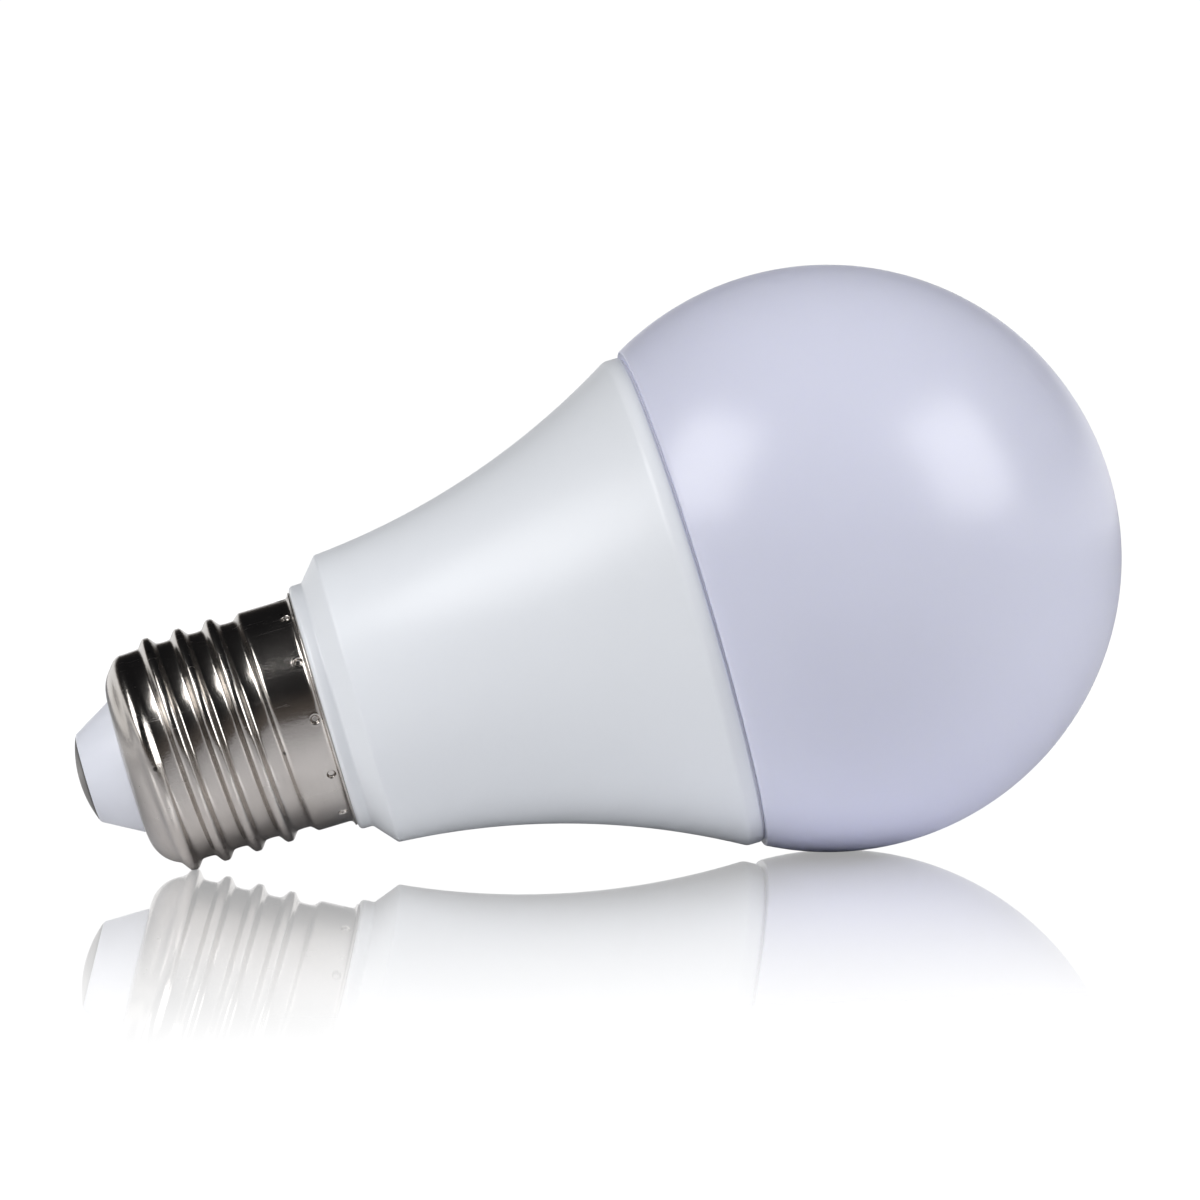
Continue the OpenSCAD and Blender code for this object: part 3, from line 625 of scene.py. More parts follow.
def cap_plastic():
    """Smooth white moulding of the cap's insulator."""
    made, tree, shader, place = new_material(
        "white_cap_moulding",
        Subsurface_Weight=0.2,
        Subsurface_Radius=(1.0, 1.0, 1.0),
        Subsurface_Scale=0.0015,
        IOR=1.5,
    )
    along = bulb_place(tree, place)
    grain = group(tree, "surface_grain", Vector=along, Grain=1800.0, Cloud=150.0)
    specks = group(tree, "dust_specks", Vector=along, Scale=300.0, Size=0.06, Share=0.12)
    base = finishes().cap
    colour = blend_colours(tree, grain.outputs[1], tinted(base, 1.03), tinted(base, 0.94))
    colour = blend_colours(tree, specks.outputs[0], colour, tinted(base, 0.6))
    tree.links.new(colour, shader.inputs["Base Color"])
    varied_roughness(tree, shader, grain.outputs[1], 0.3, 0.42)
    bumped(tree, shader, grain.outputs[0], 0.2, 0.00004)
    return made


# ---------------------------------------------------------------- finishes of the inside

def moulded(name, colour, roughness, grain=2000.0, height=0.2, speck=0.5):
    """Moulded, dipped or coated part: fine grain, a slow change of tone and a little dust."""
    made, tree, shader, place = new_material(name, IOR=1.5)
    texture = group(tree, "surface_grain", Vector=place, Grain=grain, Cloud=grain / 12)
    specks = group(tree, "dust_specks", Vector=place, Scale=700.0, Size=0.12, Share=0.15)
    tone = blend_colours(tree, texture.outputs[1], tinted(colour, 1.15), tinted(colour, 0.85))
    tone = blend_colours(tree, specks.outputs[0], tone, tinted(colour, speck))
    tree.links.new(tone, shader.inputs["Base Color"])
    varied_roughness(tree, shader, texture.outputs[1], roughness - 0.06, roughness + 0.06)
    bumped(tree, shader, texture.outputs[0], height, 0.00005)
    return made


def plated(name, colour, roughness, stretch=(0.05, 1.0, 1.0)):
    """Bare or plated metal with hairlines along its working direction."""
    made, tree, shader, place = new_material(name, Metallic=1.0)
    texture = group(tree, "surface_grain", Vector=place, Grain=2500.0, Cloud=180.0)
    lines = group(tree, "hairlines", Vector=place, Scale=2500.0, Stretch=stretch)
    tone = blend_colours(tree, texture.outputs[1], tinted(colour, 1.05), tinted(colour, 0.9))
    tone = blend_colours(tree, lines.outputs[0], tone, tinted(colour, 0.8))
    tree.links.new(tone, shader.inputs["Base Color"])
    varied_roughness(tree, shader, lines.outputs[1], roughness - 0.07, roughness + 0.1)
    bumped(tree, shader, lines.outputs[1], 0.2, 0.00003)
    return made


def circuit_board(name, mask, track):
    """Solder mask over etched tracks, with small bare pads."""
    made, tree, shader, place = new_material(name, IOR=1.5, Coat_Weight=0.3)
    along = bulb_place(tree, place)
    texture = group(tree, "surface_grain", Vector=along, Grain=2600.0, Cloud=120.0)
    near, second = (
        add(
            tree,
            "ShaderNodeTexVoronoi",
            {"Vector": along, "Scale": 430.0},
            distance="MANHATTAN",
            feature=feature,
        )
        for feature in ("F1", "F2")
    )
    gap = maths(tree, "SUBTRACT", second.outputs["Distance"], near.outputs["Distance"])
    edge = maths(tree, "SUBTRACT", 1.0, remap(tree, gap, 0.10, 0.16))
    pads = maths(tree, "LESS_THAN", near.outputs["Distance"], 0.10)
    tone = blend_colours(tree, texture.outputs[1], tinted(mask, 1.1), tinted(mask, 0.92))
    tone = blend_colours(tree, edge, tinted(mask, 0.8), tone)
    tone = blend_colours(tree, pads, tone, track)
    tree.links.new(tone, shader.inputs["Base Color"])
    tree.links.new(remap(tree, pads, 0.0, 1.0, 0.34, 0.22), shader.inputs["Roughness"])
    tree.links.new(pads, shader.inputs["Metallic"])
    bumped(tree, shader, edge, 0.4, 0.00004)
    return made


def lamp_windows(name, count, ring, window, package, resin):
    """Lamp packages in a ring: a resin window in the middle of each white package."""
    made, tree, shader, place = new_material(name, IOR=1.5, Subsurface_Weight=0.15)
    along = bulb_place(tree, place)
    axes = add(tree, "ShaderNodeSeparateXYZ", {0: along})
    angle = maths(tree, "ARCTAN2", axes.outputs[1], axes.outputs[0])
    turn = maths(tree, "MULTIPLY", angle, count / (2 * pi))
    off = maths(tree, "SUBTRACT", maths(tree, "FRACT", maths(tree, "ADD", turn, 64.0)), 0.5)
    across = maths(tree, "MULTIPLY", off, 2 * pi * ring * MM / count)
    flat = vector_maths(tree, "MULTIPLY", along, (1.0, 1.0, 0.0))
    radius = add(tree, "ShaderNodeVectorMath", {0: flat}, operation="LENGTH").outputs["Value"]
    outward = maths(tree, "SUBTRACT", radius, ring * MM)
    squares = maths(
        tree, "ADD", maths(tree, "POWER", across, 2.0), maths(tree, "POWER", outward, 2.0)
    )
    inside = maths(tree, "LESS_THAN", maths(tree, "SQRT", squares), window / 2 * MM)
    texture = group(tree, "surface_grain", Vector=along, Grain=5000.0, Cloud=600.0)
    glow = blend_colours(tree, texture.outputs[1], tinted(resin, 1.1), tinted(resin, 0.85))
    tone = blend_colours(tree, inside, package, glow)
    tree.links.new(tone, shader.inputs["Base Color"])
    tree.links.new(remap(tree, inside, 0.0, 1.0, 0.4, 0.18), shader.inputs["Roughness"])
    bumped(tree, shader, texture.outputs[0], 0.15, 0.00003)
    return made


def banded(name, colour, node, stripe, across, width, shares):
    """A coated body with painted stripes, placed along one axis of the bulb."""
    made = moulded(name, colour, 0.28, 1800.0, 0.15)
    tree = made.node_tree
    shader = tree.nodes["Principled BSDF"]
    place = tree.nodes.new("ShaderNodeTexCoord").outputs["Object"]
    low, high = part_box(node)
    middle = (low + high) / 2
    along = vector_maths(tree, "SUBTRACT", bulb_place(tree, place), tuple(in_bulb(middle)))
    reach = add(tree, "ShaderNodeSeparateXYZ", {0: along}).outputs[across]
    marks = 0.0
    for share in shares:
        away = maths(tree, "ABSOLUTE", maths(tree, "SUBTRACT", reach, share * MM))
        marks = maths(tree, "MAXIMUM", maths(tree, "LESS_THAN", away, width / 2 * MM), marks)
    before = shader.inputs["Base Color"].links[0].from_socket
    tree.links.new(blend_colours(tree, marks, before, stripe), shader.inputs["Base Color"])
    return made


def wound(name, colour, pitch, across):
    """Wire or tape wound in close layers: fine ridges across the winding."""
    made, tree, shader, place = new_material(name, IOR=1.5, Coat_Weight=0.5)
    along = bulb_place(tree, place)
    texture = group(tree, "surface_grain", Vector=along, Grain=2400.0, Cloud=200.0)
    reach = add(tree, "ShaderNodeSeparateXYZ", {0: along}).outputs[across]
    wave = maths(tree, "SINE", maths(tree, "MULTIPLY", reach, 2 * pi / (pitch * MM)))
    ridge = remap(tree, wave, -1.0, 1.0)
    # painted shade in the grooves between the layers and a painted highlight on their crests,
    # from the same ridges that set the roughness and the bump
    tone = blend_colours(tree, ridge, tinted(colour, 0.75), tinted(colour, 1.1))
    tone = blend_colours(tree, texture.outputs[1], tone, tinted(colour, 0.95))
    tree.links.new(tone, shader.inputs["Base Color"])
    tree.links.new(remap(tree, ridge, 0.0, 1.0, 0.42, 0.24), shader.inputs["Roughness"])
    bumped(tree, shader, ridge, 0.5, 0.00008)
    return made


WHITE_MASK = (0.88, 0.88, 0.86)
GREEN_MASK = (0.03, 0.22, 0.09)
TIN = (0.74, 0.73, 0.70)
GOLD = (0.83, 0.62, 0.26)
INNER_FINISHES = {
    "aluminium": lambda: plated("drawn_aluminium", (0.72, 0.73, 0.74), 0.34),
    "thermal_pad": lambda: moulded("heat_pad", (0.48, 0.55, 0.62), 0.7, 900.0, 0.5),
    "white_board": lambda: circuit_board("white_solder_mask", WHITE_MASK, TIN),
    "white_lamp": lambda: lamp_windows(
        "phosphor_lamps", 16, 20.7, 2.2, (0.86, 0.85, 0.8), (0.9, 0.68, 0.12)
    ),
    "colour_lamp": lambda: lamp_windows(
        "clear_lamps", 4, 11.6, 3.8, (0.86, 0.86, 0.84), (0.6, 0.63, 0.62)
    ),
    "screw_steel": lambda: plated("zinc_steel", (0.62, 0.62, 0.64), 0.3),
    "black_plastic": lambda: moulded(
        "black_moulding", (0.018, 0.018, 0.02), 0.5, 3000.0, 0.4, 6.0
    ),
    "gold_pin": lambda: plated("gold_flash", GOLD, 0.24),
    "green_board": lambda: circuit_board("green_solder_mask", GREEN_MASK, GOLD),
    "resistor_body": lambda: banded(
        "resistor_lacquer", (0.12, 0.30, 0.45), "fuse_resistor",
        (0.35, 0.12, 0.03), 0, 0.6, (-2.0, -0.9, 0.2, 1.9),
    ),
    "capacitor_sleeve": lambda: banded(
        "capacitor_sleeve", (0.02, 0.03, 0.11), "input_capacitor",
        (0.55, 0.57, 0.62), 0, 1.5, (2.4,),
    ),
    "ferrite": lambda: moulded(
        "sintered_ferrite", (0.06, 0.06, 0.065), 0.6, 1500.0, 0.6, 3.0
    ),
    "varistor_coat": lambda: moulded("blue_dip", (0.02, 0.08, 0.42), 0.22, 500.0, 0.4),
    "film_box": lambda: moulded("red_dip", (0.42, 0.03, 0.02), 0.2, 500.0, 0.4),
    "winding_tape": lambda: wound("yellow_tape", (0.78, 0.52, 0.07), 0.5, 0),
    "copper": lambda: plated("etched_copper", (0.78, 0.42, 0.26), 0.3),
    "red_wire": lambda: moulded("red_insulation", (0.5, 0.02, 0.015), 0.45, 1600.0, 0.25),
    "black_wire": lambda: moulded(
        "black_insulation", (0.015, 0.015, 0.015), 0.45, 1600.0, 0.25
    ),
}


# ---------------------------------------------------------------- the pieces

def in_mm(sizes):
    """A property group's sizes as plain numbers, its lengths in millimetres."""
    plain = {}
    for prop in sizes.bl_rna.properties:
        if prop.type in {"FLOAT", "INT"}:
            value = getattr(sizes, prop.identifier)
            plain[prop.identifier] = value / MM if prop.unit == "LENGTH" else value
    return SimpleNamespace(**plain)


def floor_radius(c):
    """Radius of the shell's flat bottom, inside its rounded edge."""
    return c.root / 2 - c.corner


def skirt_start(c):
    """Height at which the thread ends and the plain skirt starts."""
    return c.first_crest + c.thread_turns * c.pitch


def bend_height(c):
    """Height at which the skirt starts to bend out to the flange."""
    return c.flange_height - c.sheet - BEND


def seat_radius(c):
    """Radius of the housing where it sits in the skirt."""
    return c.skirt / 2 - c.sheet - SEAT_GAP


def bore_radius(b):
    """Radius of the hole in the housing's rim that takes the globe."""
    return b.flare / 2 - SNAP_INSET


def crest_radius(c, turn):
    """Radius of the thread's crest, by turns from the first crest."""
    if turn < 1:
        return mix(c.root / 2, c.crest / 2, fade(*CREST_RUN_IN, turn))
    return mix(c.crest / 2, c.skirt / 2, fade(*CREST_RUN_OUT, turn))


def valley_radius(c, turn):
    """Radius of the thread's valley, by turns from the first crest."""
    return mix(c.root / 2, c.skirt / 2, fade(*VALLEY_RUN_OUT, turn))


def thread_rise(c, z, part):
    """How far the sheet stands out of the root, at a height and a part of a turn."""
    turn = (z - c.first_crest) / c.pitch - part
    off_crest = abs(turn - floor(turn + 0.5))
    wave = (1 + cos(2 * pi * off_crest)) / 2
    ridge = mix(wave, 1 - fade(*BEAD_SIDE, off_crest), BEAD_SHARE)
    low = valley_radius(c, floor(turn) + 0.5 + part)
    high = crest_radius(c, floor(turn + 0.5) + part)
    return mix(low, high, ridge) - c.root / 2


def from_mark(c, z, angle):
    """Distances up and around the skirt from the nearest staking mark."""
    step = 2 * pi / c.stake_count
    around = (angle + step / 2) % step - step / 2
    return z - (c.flange_height - c.stake_drop), around * c.skirt / 2


def stake_dent(c, z, angle):
    """Depth of the staking marks at a place on the skirt, with a slight raised rim."""
    away = hypot(*from_mark(c, z, angle))
    bowl = 1 - fade(0.28 * c.stake, 0.5 * c.stake, away)
    rim = exp(-((away - 0.58 * c.stake) / (0.1 * c.stake)) ** 2)
    return c.stake_depth * bowl - 0.012 * rim


def rows(start, end, spacing):
    """Heights from start up to end, evenly spaced."""
    count = ceil((end - start) / spacing)
    return [mix(start, end, i / count) for i in range(count + 1)]


def shell_outline(c):
    """The shell before its thread is rolled: outside upwards, then inside downwards."""
    corner_z = c.bottom + c.corner
    floor_r = floor_radius(c)
    bend_z = bend_height(c)
    skirt_z = skirt_start(c)
    heights = rows(corner_z, skirt_z, THREAD_ROW)[1:] + rows(skirt_z, bend_z, SKIRT_ROW)[1:-1]
    skirt_in = c.skirt / 2 - c.sheet
    edge = c.sheet / 3
    outside = (
        [(c.mouth / 2, c.bottom + edge), (c.mouth / 2 + edge, c.bottom)]
        + arc((floor_r, corner_z), c.corner, -90, 0, 14)
        + [(c.root / 2, z) for z in heights]
        + arc((c.skirt / 2 + BEND, bend_z), BEND, 180, 90, 6)
        + [(c.flange / 2 - edge, c.flange_height - c.sheet)]
        + [(c.flange / 2, c.flange_height - c.sheet + edge)]
    )
    inside = (
        [(c.flange / 2, c.flange_height - edge), (c.flange / 2 - edge, c.flange_height)]
        + arc((c.skirt / 2 + BEND, bend_z), BEND + c.sheet, 90, 180, 6)
        + [(skirt_in - (c.skirt - c.root) / 2, z) for z in reversed(heights)]
        + arc((floor_r, corner_z), c.corner - c.sheet, 0, -90, 10)
        + [(c.mouth / 2 + edge, c.bottom + c.sheet), (c.mouth / 2, c.bottom + c.sheet - edge)]
    )
    return outside + inside


def roll_thread(c, bm):
    """Moves the shell's plain wall out to the thread."""
    corner_z = c.bottom + c.corner
    floor_r = floor_radius(c)
    bend_z = bend_height(c)
    for vert in bm.verts:
        r = hypot(vert.co.x, vert.co.y)
        z = vert.co.z
        if z > bend_z - 0.001 or r < floor_r + 0.01:
            continue
        angle = atan2(vert.co.y, vert.co.x)
        part = angle / (2 * pi) % 1.0
        way = Vector((1, 0))
        if z < corner_z:
            way = Vector((r - floor_r, z - corner_z)).normalized()
            z = corner_z + c.corner * way.y
        rise = way.x ** 2 * thread_rise(c, z, part)
        r += way.x * rise
        vert.co = (r * cos(angle), r * sin(angle), vert.co.z + way.y * rise)


def dimple_faces(c, bm):
    """The skirt's outer faces around each staking mark."""
    reach_up, reach_round = 0.95, 1.0
    near = []
    for face in bm.faces:
        middle = face.calc_center_median()
        if hypot(middle.x, middle.y) < c.skirt / 2 - 0.1:
            continue
        up, around = from_mark(c, middle.z, atan2(middle.y, middle.x))
        if abs(up) <= reach_up and abs(around) < reach_round:
            near.append(face)
    return near


def press_stakes(c, bm):
    """Presses the staking marks into the skirt, whose outer faces are made finer there."""
    edges = dict.fromkeys(edge for face in dimple_faces(c, bm) for edge in face.edges)
    bmesh.ops.subdivide_edges(bm, edges=list(edges), cuts=4, use_grid_fill=True)
    for vert in bm.verts:
        r = hypot(vert.co.x, vert.co.y)
        if r > c.mouth / 2:
            vert.co.xy *= 1 - stake_dent(c, vert.co.z, atan2(vert.co.y, vert.co.x)) / r


class BULB_OT_shell(bpy.types.Operator):
    """Rolls the threaded nickel shell with its flange and staking marks"""
    bl_idname = "bulb.shell"
    bl_label = "Threaded shell"

    def execute(self, context):
        c = in_mm(cap())
        bm = spun(shell_outline(c))
        roll_thread(c, bm)
        press_stakes(c, bm)
        piece("threaded_shell", bm, nickel(), "nickel", "screw_shell")
        return {"FINISHED"}


class BULB_OT_contact(bpy.types.Operator):
    """Turns the domed centre contact with its shank"""
    bl_idname = "bulb.contact"
    bl_label = "Centre contact"

    def execute(self, context):
        c = in_mm(cap())
        head = c.contact / 2
        ball = (head ** 2 + c.contact_dome ** 2) / (2 * c.contact_dome)
        edge = TURNED_EDGE
        back = c.contact_dome + FACE_GAP
        reach = degrees(asin((head - edge) / ball))
        dome = arc((0, ball), ball, -90, -90 + reach, 24)
        rim_z = dome[-1][1] + edge
        outline = dome + arc((head - edge, rim_z), edge, -60, 60, 6) + [
            (head - edge, back),
            (c.shank / 2 + 0.3, back),
            (c.shank / 2, c.contact_dome + 0.3),
            (c.shank / 2, c.shank_top - 0.25),
            (c.shank / 2 - 0.25, c.shank_top),
            (0, c.shank_top),
        ]
        bm = spun(outline, closed=False)
        piece("contact_button", bm, dull_nickel_painted_rim(), "nickel", "center_contact")
        return {"FINISHED"}


class BULB_OT_insulator(bpy.types.Operator):
    """Turns the white insulator between the contact and the shell"""
    bl_idname = "bulb.insulator"
    bl_label = "Cap insulator"

    def execute(self, context):
        c = in_mm(cap())
        bore = c.shank / 2 + 0.05
        waist = c.mouth / 2 - 0.1
        cup_r = 5.0
        floor_r = floor_radius(c)
        top = c.bottom + c.sheet + c.collar
        front = c.contact_dome + FACE_GAP
        back = c.contact_dome + c.front_wall
        bm = spun(softened([
            (bore, front, 0),
            (c.nose / 2, front, 0.3),
            (waist, c.bottom - 0.1, 0.15),
            (waist, c.bottom + c.sheet, 0),
            (floor_r, c.bottom + c.sheet, 0),
            (floor_r, top, 0.3),
            (cup_r, top, 0.3),
            (cup_r, back, 0.5),
            (bore, back, 0.2),
        ]))
        piece("cap_insulator_moulding", bm, cap_plastic(), "cap_plastic", "cap_insulator")
        return {"FINISHED"}


def flare_centre(b, start, end):
    """Centre of the flare's arc, which bulges towards the axis."""
    chord = Vector(end) - Vector(start)
    half = chord.length / 2
    side = Vector((chord.y, -chord.x)).normalized()
    return (Vector(start) + Vector(end)) / 2 + side * sqrt(b.flare_radius ** 2 - half ** 2)


def housing_outline(c, b):
    """The housing's wall: outside from the neck to the lip, then inside back down.

    It is a plain turned shape, without the driver board's rails and the lead's notch.
    """
    neck_r = c.root / 2 - c.sheet - 0.25
    seat_r = seat_radius(c)
    skirt_z = skirt_start(c) + 0.3
    collar_r = b.collar / 2
    collar_top = c.flange_height + b.collar_length
    shoulder = (b.shoulder / 2, collar_top + b.shoulder_length)
    flare_end = (b.flare / 2, b.rim - b.lip_height)
    centre = flare_centre(b, shoulder, flare_end)
    turn_in = heading(centre, shoulder)
    turn_out = heading(centre, flare_end)
    lip = Vector(flare_end) + b.lip * (Vector(flare_end) - centre) / b.flare_radius
    bore_r = bore_radius(b)
    mouth_z = b.rim + b.seam
    bore_z = mouth_z - b.snap - 0.25
    groove_z = mouth_z - b.snap + GROOVE_RISE
    neck = softened([
        (neck_r - b.neck_wall, b.neck_start, 0.3),
        (neck_r, b.neck_start, 0.6),
        (neck_r, skirt_z, 0.0),
        (seat_r, skirt_z, 0.1),
    ])
    seat = [(seat_r, z) for z in rows(skirt_z + 0.2, c.flange_height, 0.2)]
    edge = b.collar_edge
    collar = [(collar_r - edge, c.flange_height)]
    collar += arc((collar_r - edge, c.flange_height + edge), edge, -60, 0, 6)
    flare = arc(centre, b.flare_radius, turn_in, turn_out, 60)[1:]
    step = softened([
        (collar_r, c.flange_height + edge, 0),
        (collar_r, collar_top, 0.22),
        (*shoulder, 0.22),
        (*flare[0], 0),
    ], 5)[1:-1]
    rim = arc(lip, b.lip, heading(flare_end, centre), 0, 8)[1:]
    lip_top = (lip.x + b.lip - b.lip_edge, b.rim - b.lip_edge)
    rim += arc(lip_top, b.lip_edge, 0, 90, 5)
    steps = 24
    wall = b.flare_radius + b.wall
    ledge = 1.8
    inner_low = shoulder[1] + ledge
    inner = []
    for i in range(steps + 1):
        z = mix(bore_z - 0.3, inner_low, i / steps)
        inner.append((centre[0] - sqrt(wall ** 2 - (z - centre[1]) ** 2), z))
    ledge_r = shoulder[0] - b.wall - ledge
    throat = softened([
        (bore_r + 1.1, b.rim, 0.08),
        (bore_r + 0.9, b.rim, 0),
        (bore_r + 0.4, b.rim - 0.5, 0.05),
        (bore_r, b.rim - 0.5, 0.05),
        (bore_r, groove_z + 2 * b.bead, 0),
        (bore_r + b.bead, groove_z + b.bead, 0.05),
        (bore_r + b.bead, groove_z - b.bead, 0.05),
        (bore_r, groove_z - 2 * b.bead, 0),
        (bore_r, bore_z, 0),
    ], 2)[1:]
    ledge_to_neck = [
        (ledge_r, inner_low),
        (ledge_r, shoulder[1]),
        (neck_r - b.neck_wall, c.flange_height - 0.2),
    ]
    return neck + seat + collar + step + flare + rim + throat + inner + ledge_to_neck


class BULB_OT_housing(bpy.types.Operator):
    """Turns the flared white housing, from its neck in the shell to its rounded lip"""
    bl_idname = "bulb.housing"
    bl_label = "Flared housing"

    def execute(self, context):
        c = in_mm(cap())
        b = in_mm(body())
        bm = spun(housing_outline(c, b))
        seat_r = seat_radius(c)
        for vert in bm.verts:
            r = hypot(vert.co.x, vert.co.y)
            if abs(r - seat_r) < 0.01:
                angle = atan2(vert.co.y, vert.co.x)
                dent = max(0.0, stake_dent(c, vert.co.z, angle)) / r
                vert.co.xy *= 1 - dent
        piece("flared_housing", bm, housing_plastic(), "housing_plastic", "housing")
        return {"FINISHED"}


class BULB_OT_globe(bpy.types.Operator):
    """Turns the round milky globe with its snap skirt"""
    bl_idname = "bulb.globe"
    bl_label = "Globe"

    def execute(self, context):
        b = in_mm(body())
        r = b.globe / 2
        mouth_r = b.mouth / 2
        mouth_z = b.rim + b.seam
        centre = (0, mouth_z + sqrt(r ** 2 - mouth_r ** 2))
        inner = r - b.globe_wall
        snap_r = bore_radius(b) - 0.1
        snap_in = snap_r - b.snap_wall
        snap_z = mouth_z - b.snap
        groove_z = snap_z + GROOVE_RISE
        tooth = b.bead - 0.05
        edge = TURNED_EDGE
        start = -degrees(acos(mouth_r / r)) + degrees(edge / r)
        base_z = mouth_z + 1.2
        inner_start = -degrees(asin((centre[1] - base_z) / inner))
        skirt = [
            (snap_in, snap_z),
            (snap_r - 0.4, snap_z),
            (snap_r, snap_z + 0.4),
            (snap_r, groove_z - tooth),
            (snap_r + tooth, groove_z - tooth / 2),
            (snap_r + tooth, groove_z + tooth / 2),
            (snap_r, groove_z + tooth),
            (snap_r, mouth_z),
        ]
        outside = arc(centre, r, start, 90, 130)
        lip = softened([
            (snap_r, mouth_z, 0),
            (mouth_r - 0.02, mouth_z + 0.02, edge),
            (*outside[0], 0),
        ], 5)[1:]
        inside = arc(centre, inner, 90, inner_start, 70)
        bm = spun(inside + [(snap_in, base_z)] + skirt + lip + outside[1:], closed=False)
        piece("milky_globe", bm, globe_plastic(), "globe_plastic", "diffuser")
        return {"FINISHED"}


class BULB_OT_seal(bpy.types.Operator):
    """Lays the silicone bead in the seam between the housing and the globe"""
    bl_idname = "bulb.seal"
    bl_label = "Seam bead"

    def execute(self, context):
        b = in_mm(body())
        bore_r = bore_radius(b)
        outer_r = bore_r + 1.4
        top = b.rim + b.seam
        bm = spun(softened([
            (bore_r + 0.1, b.rim - 0.45, 0.05),
            (bore_r + 0.35, b.rim - 0.45, 0),
            (bore_r + 0.85, b.rim, 0),
            (outer_r, b.rim, 0),
            (outer_r, top, 0.1),
            (bore_r + 0.1, top, 0),
        ]))
        piece("seam_bead", bm, seal_silicone(), "silicone", "diffuser_seal")
        return {"FINISHED"}


class BULB_OT_inside(bpy.types.Operator):
    """Gives each inner piece the finish that its record names"""
    bl_idname = "bulb.inside"
    bl_label = "Driver, radio and lamp board"

    def execute(self, context):
        made = {}
        for part in frame["record"]["subparts"]:
            slot = part["material_slot"]
            if slot not in INNER_FINISHES:
                continue
            if slot not in made:
                made[slot] = INNER_FINISHES[slot]()
            for place in frame["nodes"][part["node"]].material_slots:
                place.material = made[slot]
        return {"FINISHED"}


# ---------------------------------------------------------------- the studio

BOX_SIZE = (0.5, 0.56)          # metres
BOX_DISTANCE = 0.85             # metres from the bulb
RIGHT_BOX_SHARE = 0.93          # the right box is a little weaker than the left one


def table_finish(colour):
    """White acrylic: it mirrors what stands on it, and the mirror fades further out.

    The camera sees the matte part as plain white, and the bulb is lit by the real table.
    """
    made = bpy.data.materials.new("white_acrylic")
    made.use_nodes = True
    tree = made.node_tree
    tree.nodes.clear()
    half_bulb = (0.06, 0.0, 0.0)
    place = tree.nodes.new("ShaderNodeTexCoord").outputs["Object"]
    past = vector_maths(tree, "SUBTRACT", vector_maths(tree, "ABSOLUTE", place), half_bulb)
    past = vector_maths(tree, "MAXIMUM", past, (0.0, 0.0, 0.0))
    away = add(tree, "ShaderNodeVectorMath", {0: past}, operation="LENGTH").outputs["Value"]
    mirror = remap(tree, away, 0.035, 0.185, 1.0, 0.0)
    # painted pool of light: the matte colour is full white near the bulb and 0.6 of it further
    # out, which sets how much light the table throws back onto the bulb
    near = remap(tree, away, 0.02, 0.16, 1.0, 0.0)
    haze = add(tree, "ShaderNodeTexNoise", {"Vector": place, "Scale": 30.0, "Detail": 4.0})
    gloss = add(tree, "ShaderNodeFresnel", {"IOR": 1.5}).outputs[0]
    gloss = maths(tree, "MULTIPLY", maths(tree, "MULTIPLY", gloss, 1.15), mirror)
    gloss = maths(tree, "MINIMUM", gloss, 0.9)
    tone = blend_colours(tree, near, tinted(colour, 0.6), colour)
    tone = blend_colours(tree, maths(tree, "MULTIPLY", haze.outputs[0], 0.02), tone, (0, 0, 0))
    matte = add(tree, "ShaderNodeBsdfDiffuse", {"Color": tone})
    lit = add(tree, "ShaderNodeEmission", {"Color": (1, 1, 1, 1), "Strength": 1.16})
    seen = tree.nodes.new("ShaderNodeLightPath").outputs["Is Camera Ray"]
    lifted = maths(tree, "MULTIPLY", seen, 0.9)
    bright = add(tree, "ShaderNodeMixShader", {0: lifted, 1: matte.outputs[0], 2: lit.outputs[0]})
    shine = add(tree, "ShaderNodeBsdfGlossy", {"Color": (1, 1, 1, 1), "Roughness": 0.02})
    whole = add(
        tree, "ShaderNodeMixShader", {0: gloss, 1: bright.outputs[0], 2: shine.outputs[0]}
    )
    output = tree.nodes.new("ShaderNodeOutputMaterial")
    tree.links.new(whole.outputs[0], output.inputs[0])
    return made


def white_room():
    """White behind the bulb; what it mirrors is a dark room with white paper low down."""
    world = bpy.data.worlds.new("studio")
    world.use_nodes = True
    tree = world.node_tree
    tree.nodes.clear()
    way = tree.nodes.new("ShaderNodeTexCoord").outputs["Generated"]
    axes = add(tree, "ShaderNodeSeparateXYZ", {0: way}).outputs
    behind = remap(tree, axes[1], -0.55, -0.25)
    low = remap(tree, axes[2], 0.15, 0.24, 1.0, 0.0)
    paper = maths(tree, "MULTIPLY", low, behind)
    warm = remap(tree, axes[2], 0.05, 0.5, 1.0, 0.0)
    room = blend_colours(tree, warm, (0.008, 0.008, 0.009), (0.10, 0.085, 0.075))
    room = blend_colours(tree, paper, room, (1.0, 1.0, 1.0))
    path = tree.nodes.new("ShaderNodeLightPath").outputs
    front = remap(tree, axes[1], -0.6, 0.5, 1.0, 0.0)
    fill = blend_colours(tree, front, (0.035, 0.036, 0.044), (0.215, 0.218, 0.255))
    room = blend_colours(tree, path["Is Diffuse Ray"], room, fill)
    light = add(tree, "ShaderNodeBackground", {"Color": room, "Strength": 1.0})
    white = add(tree, "ShaderNodeBackground", {"Color": (1, 1, 1, 1), "Strength": 1.05})
    both = add(
        tree,
        "ShaderNodeMixShader",
        {0: path["Is Camera Ray"], 1: light.outputs[0], 2: white.outputs[0]},
    )
    output = tree.nodes.new("ShaderNodeOutputWorld")
    tree.links.new(both.outputs[0], output.inputs[0])
    bpy.context.scene.world = world


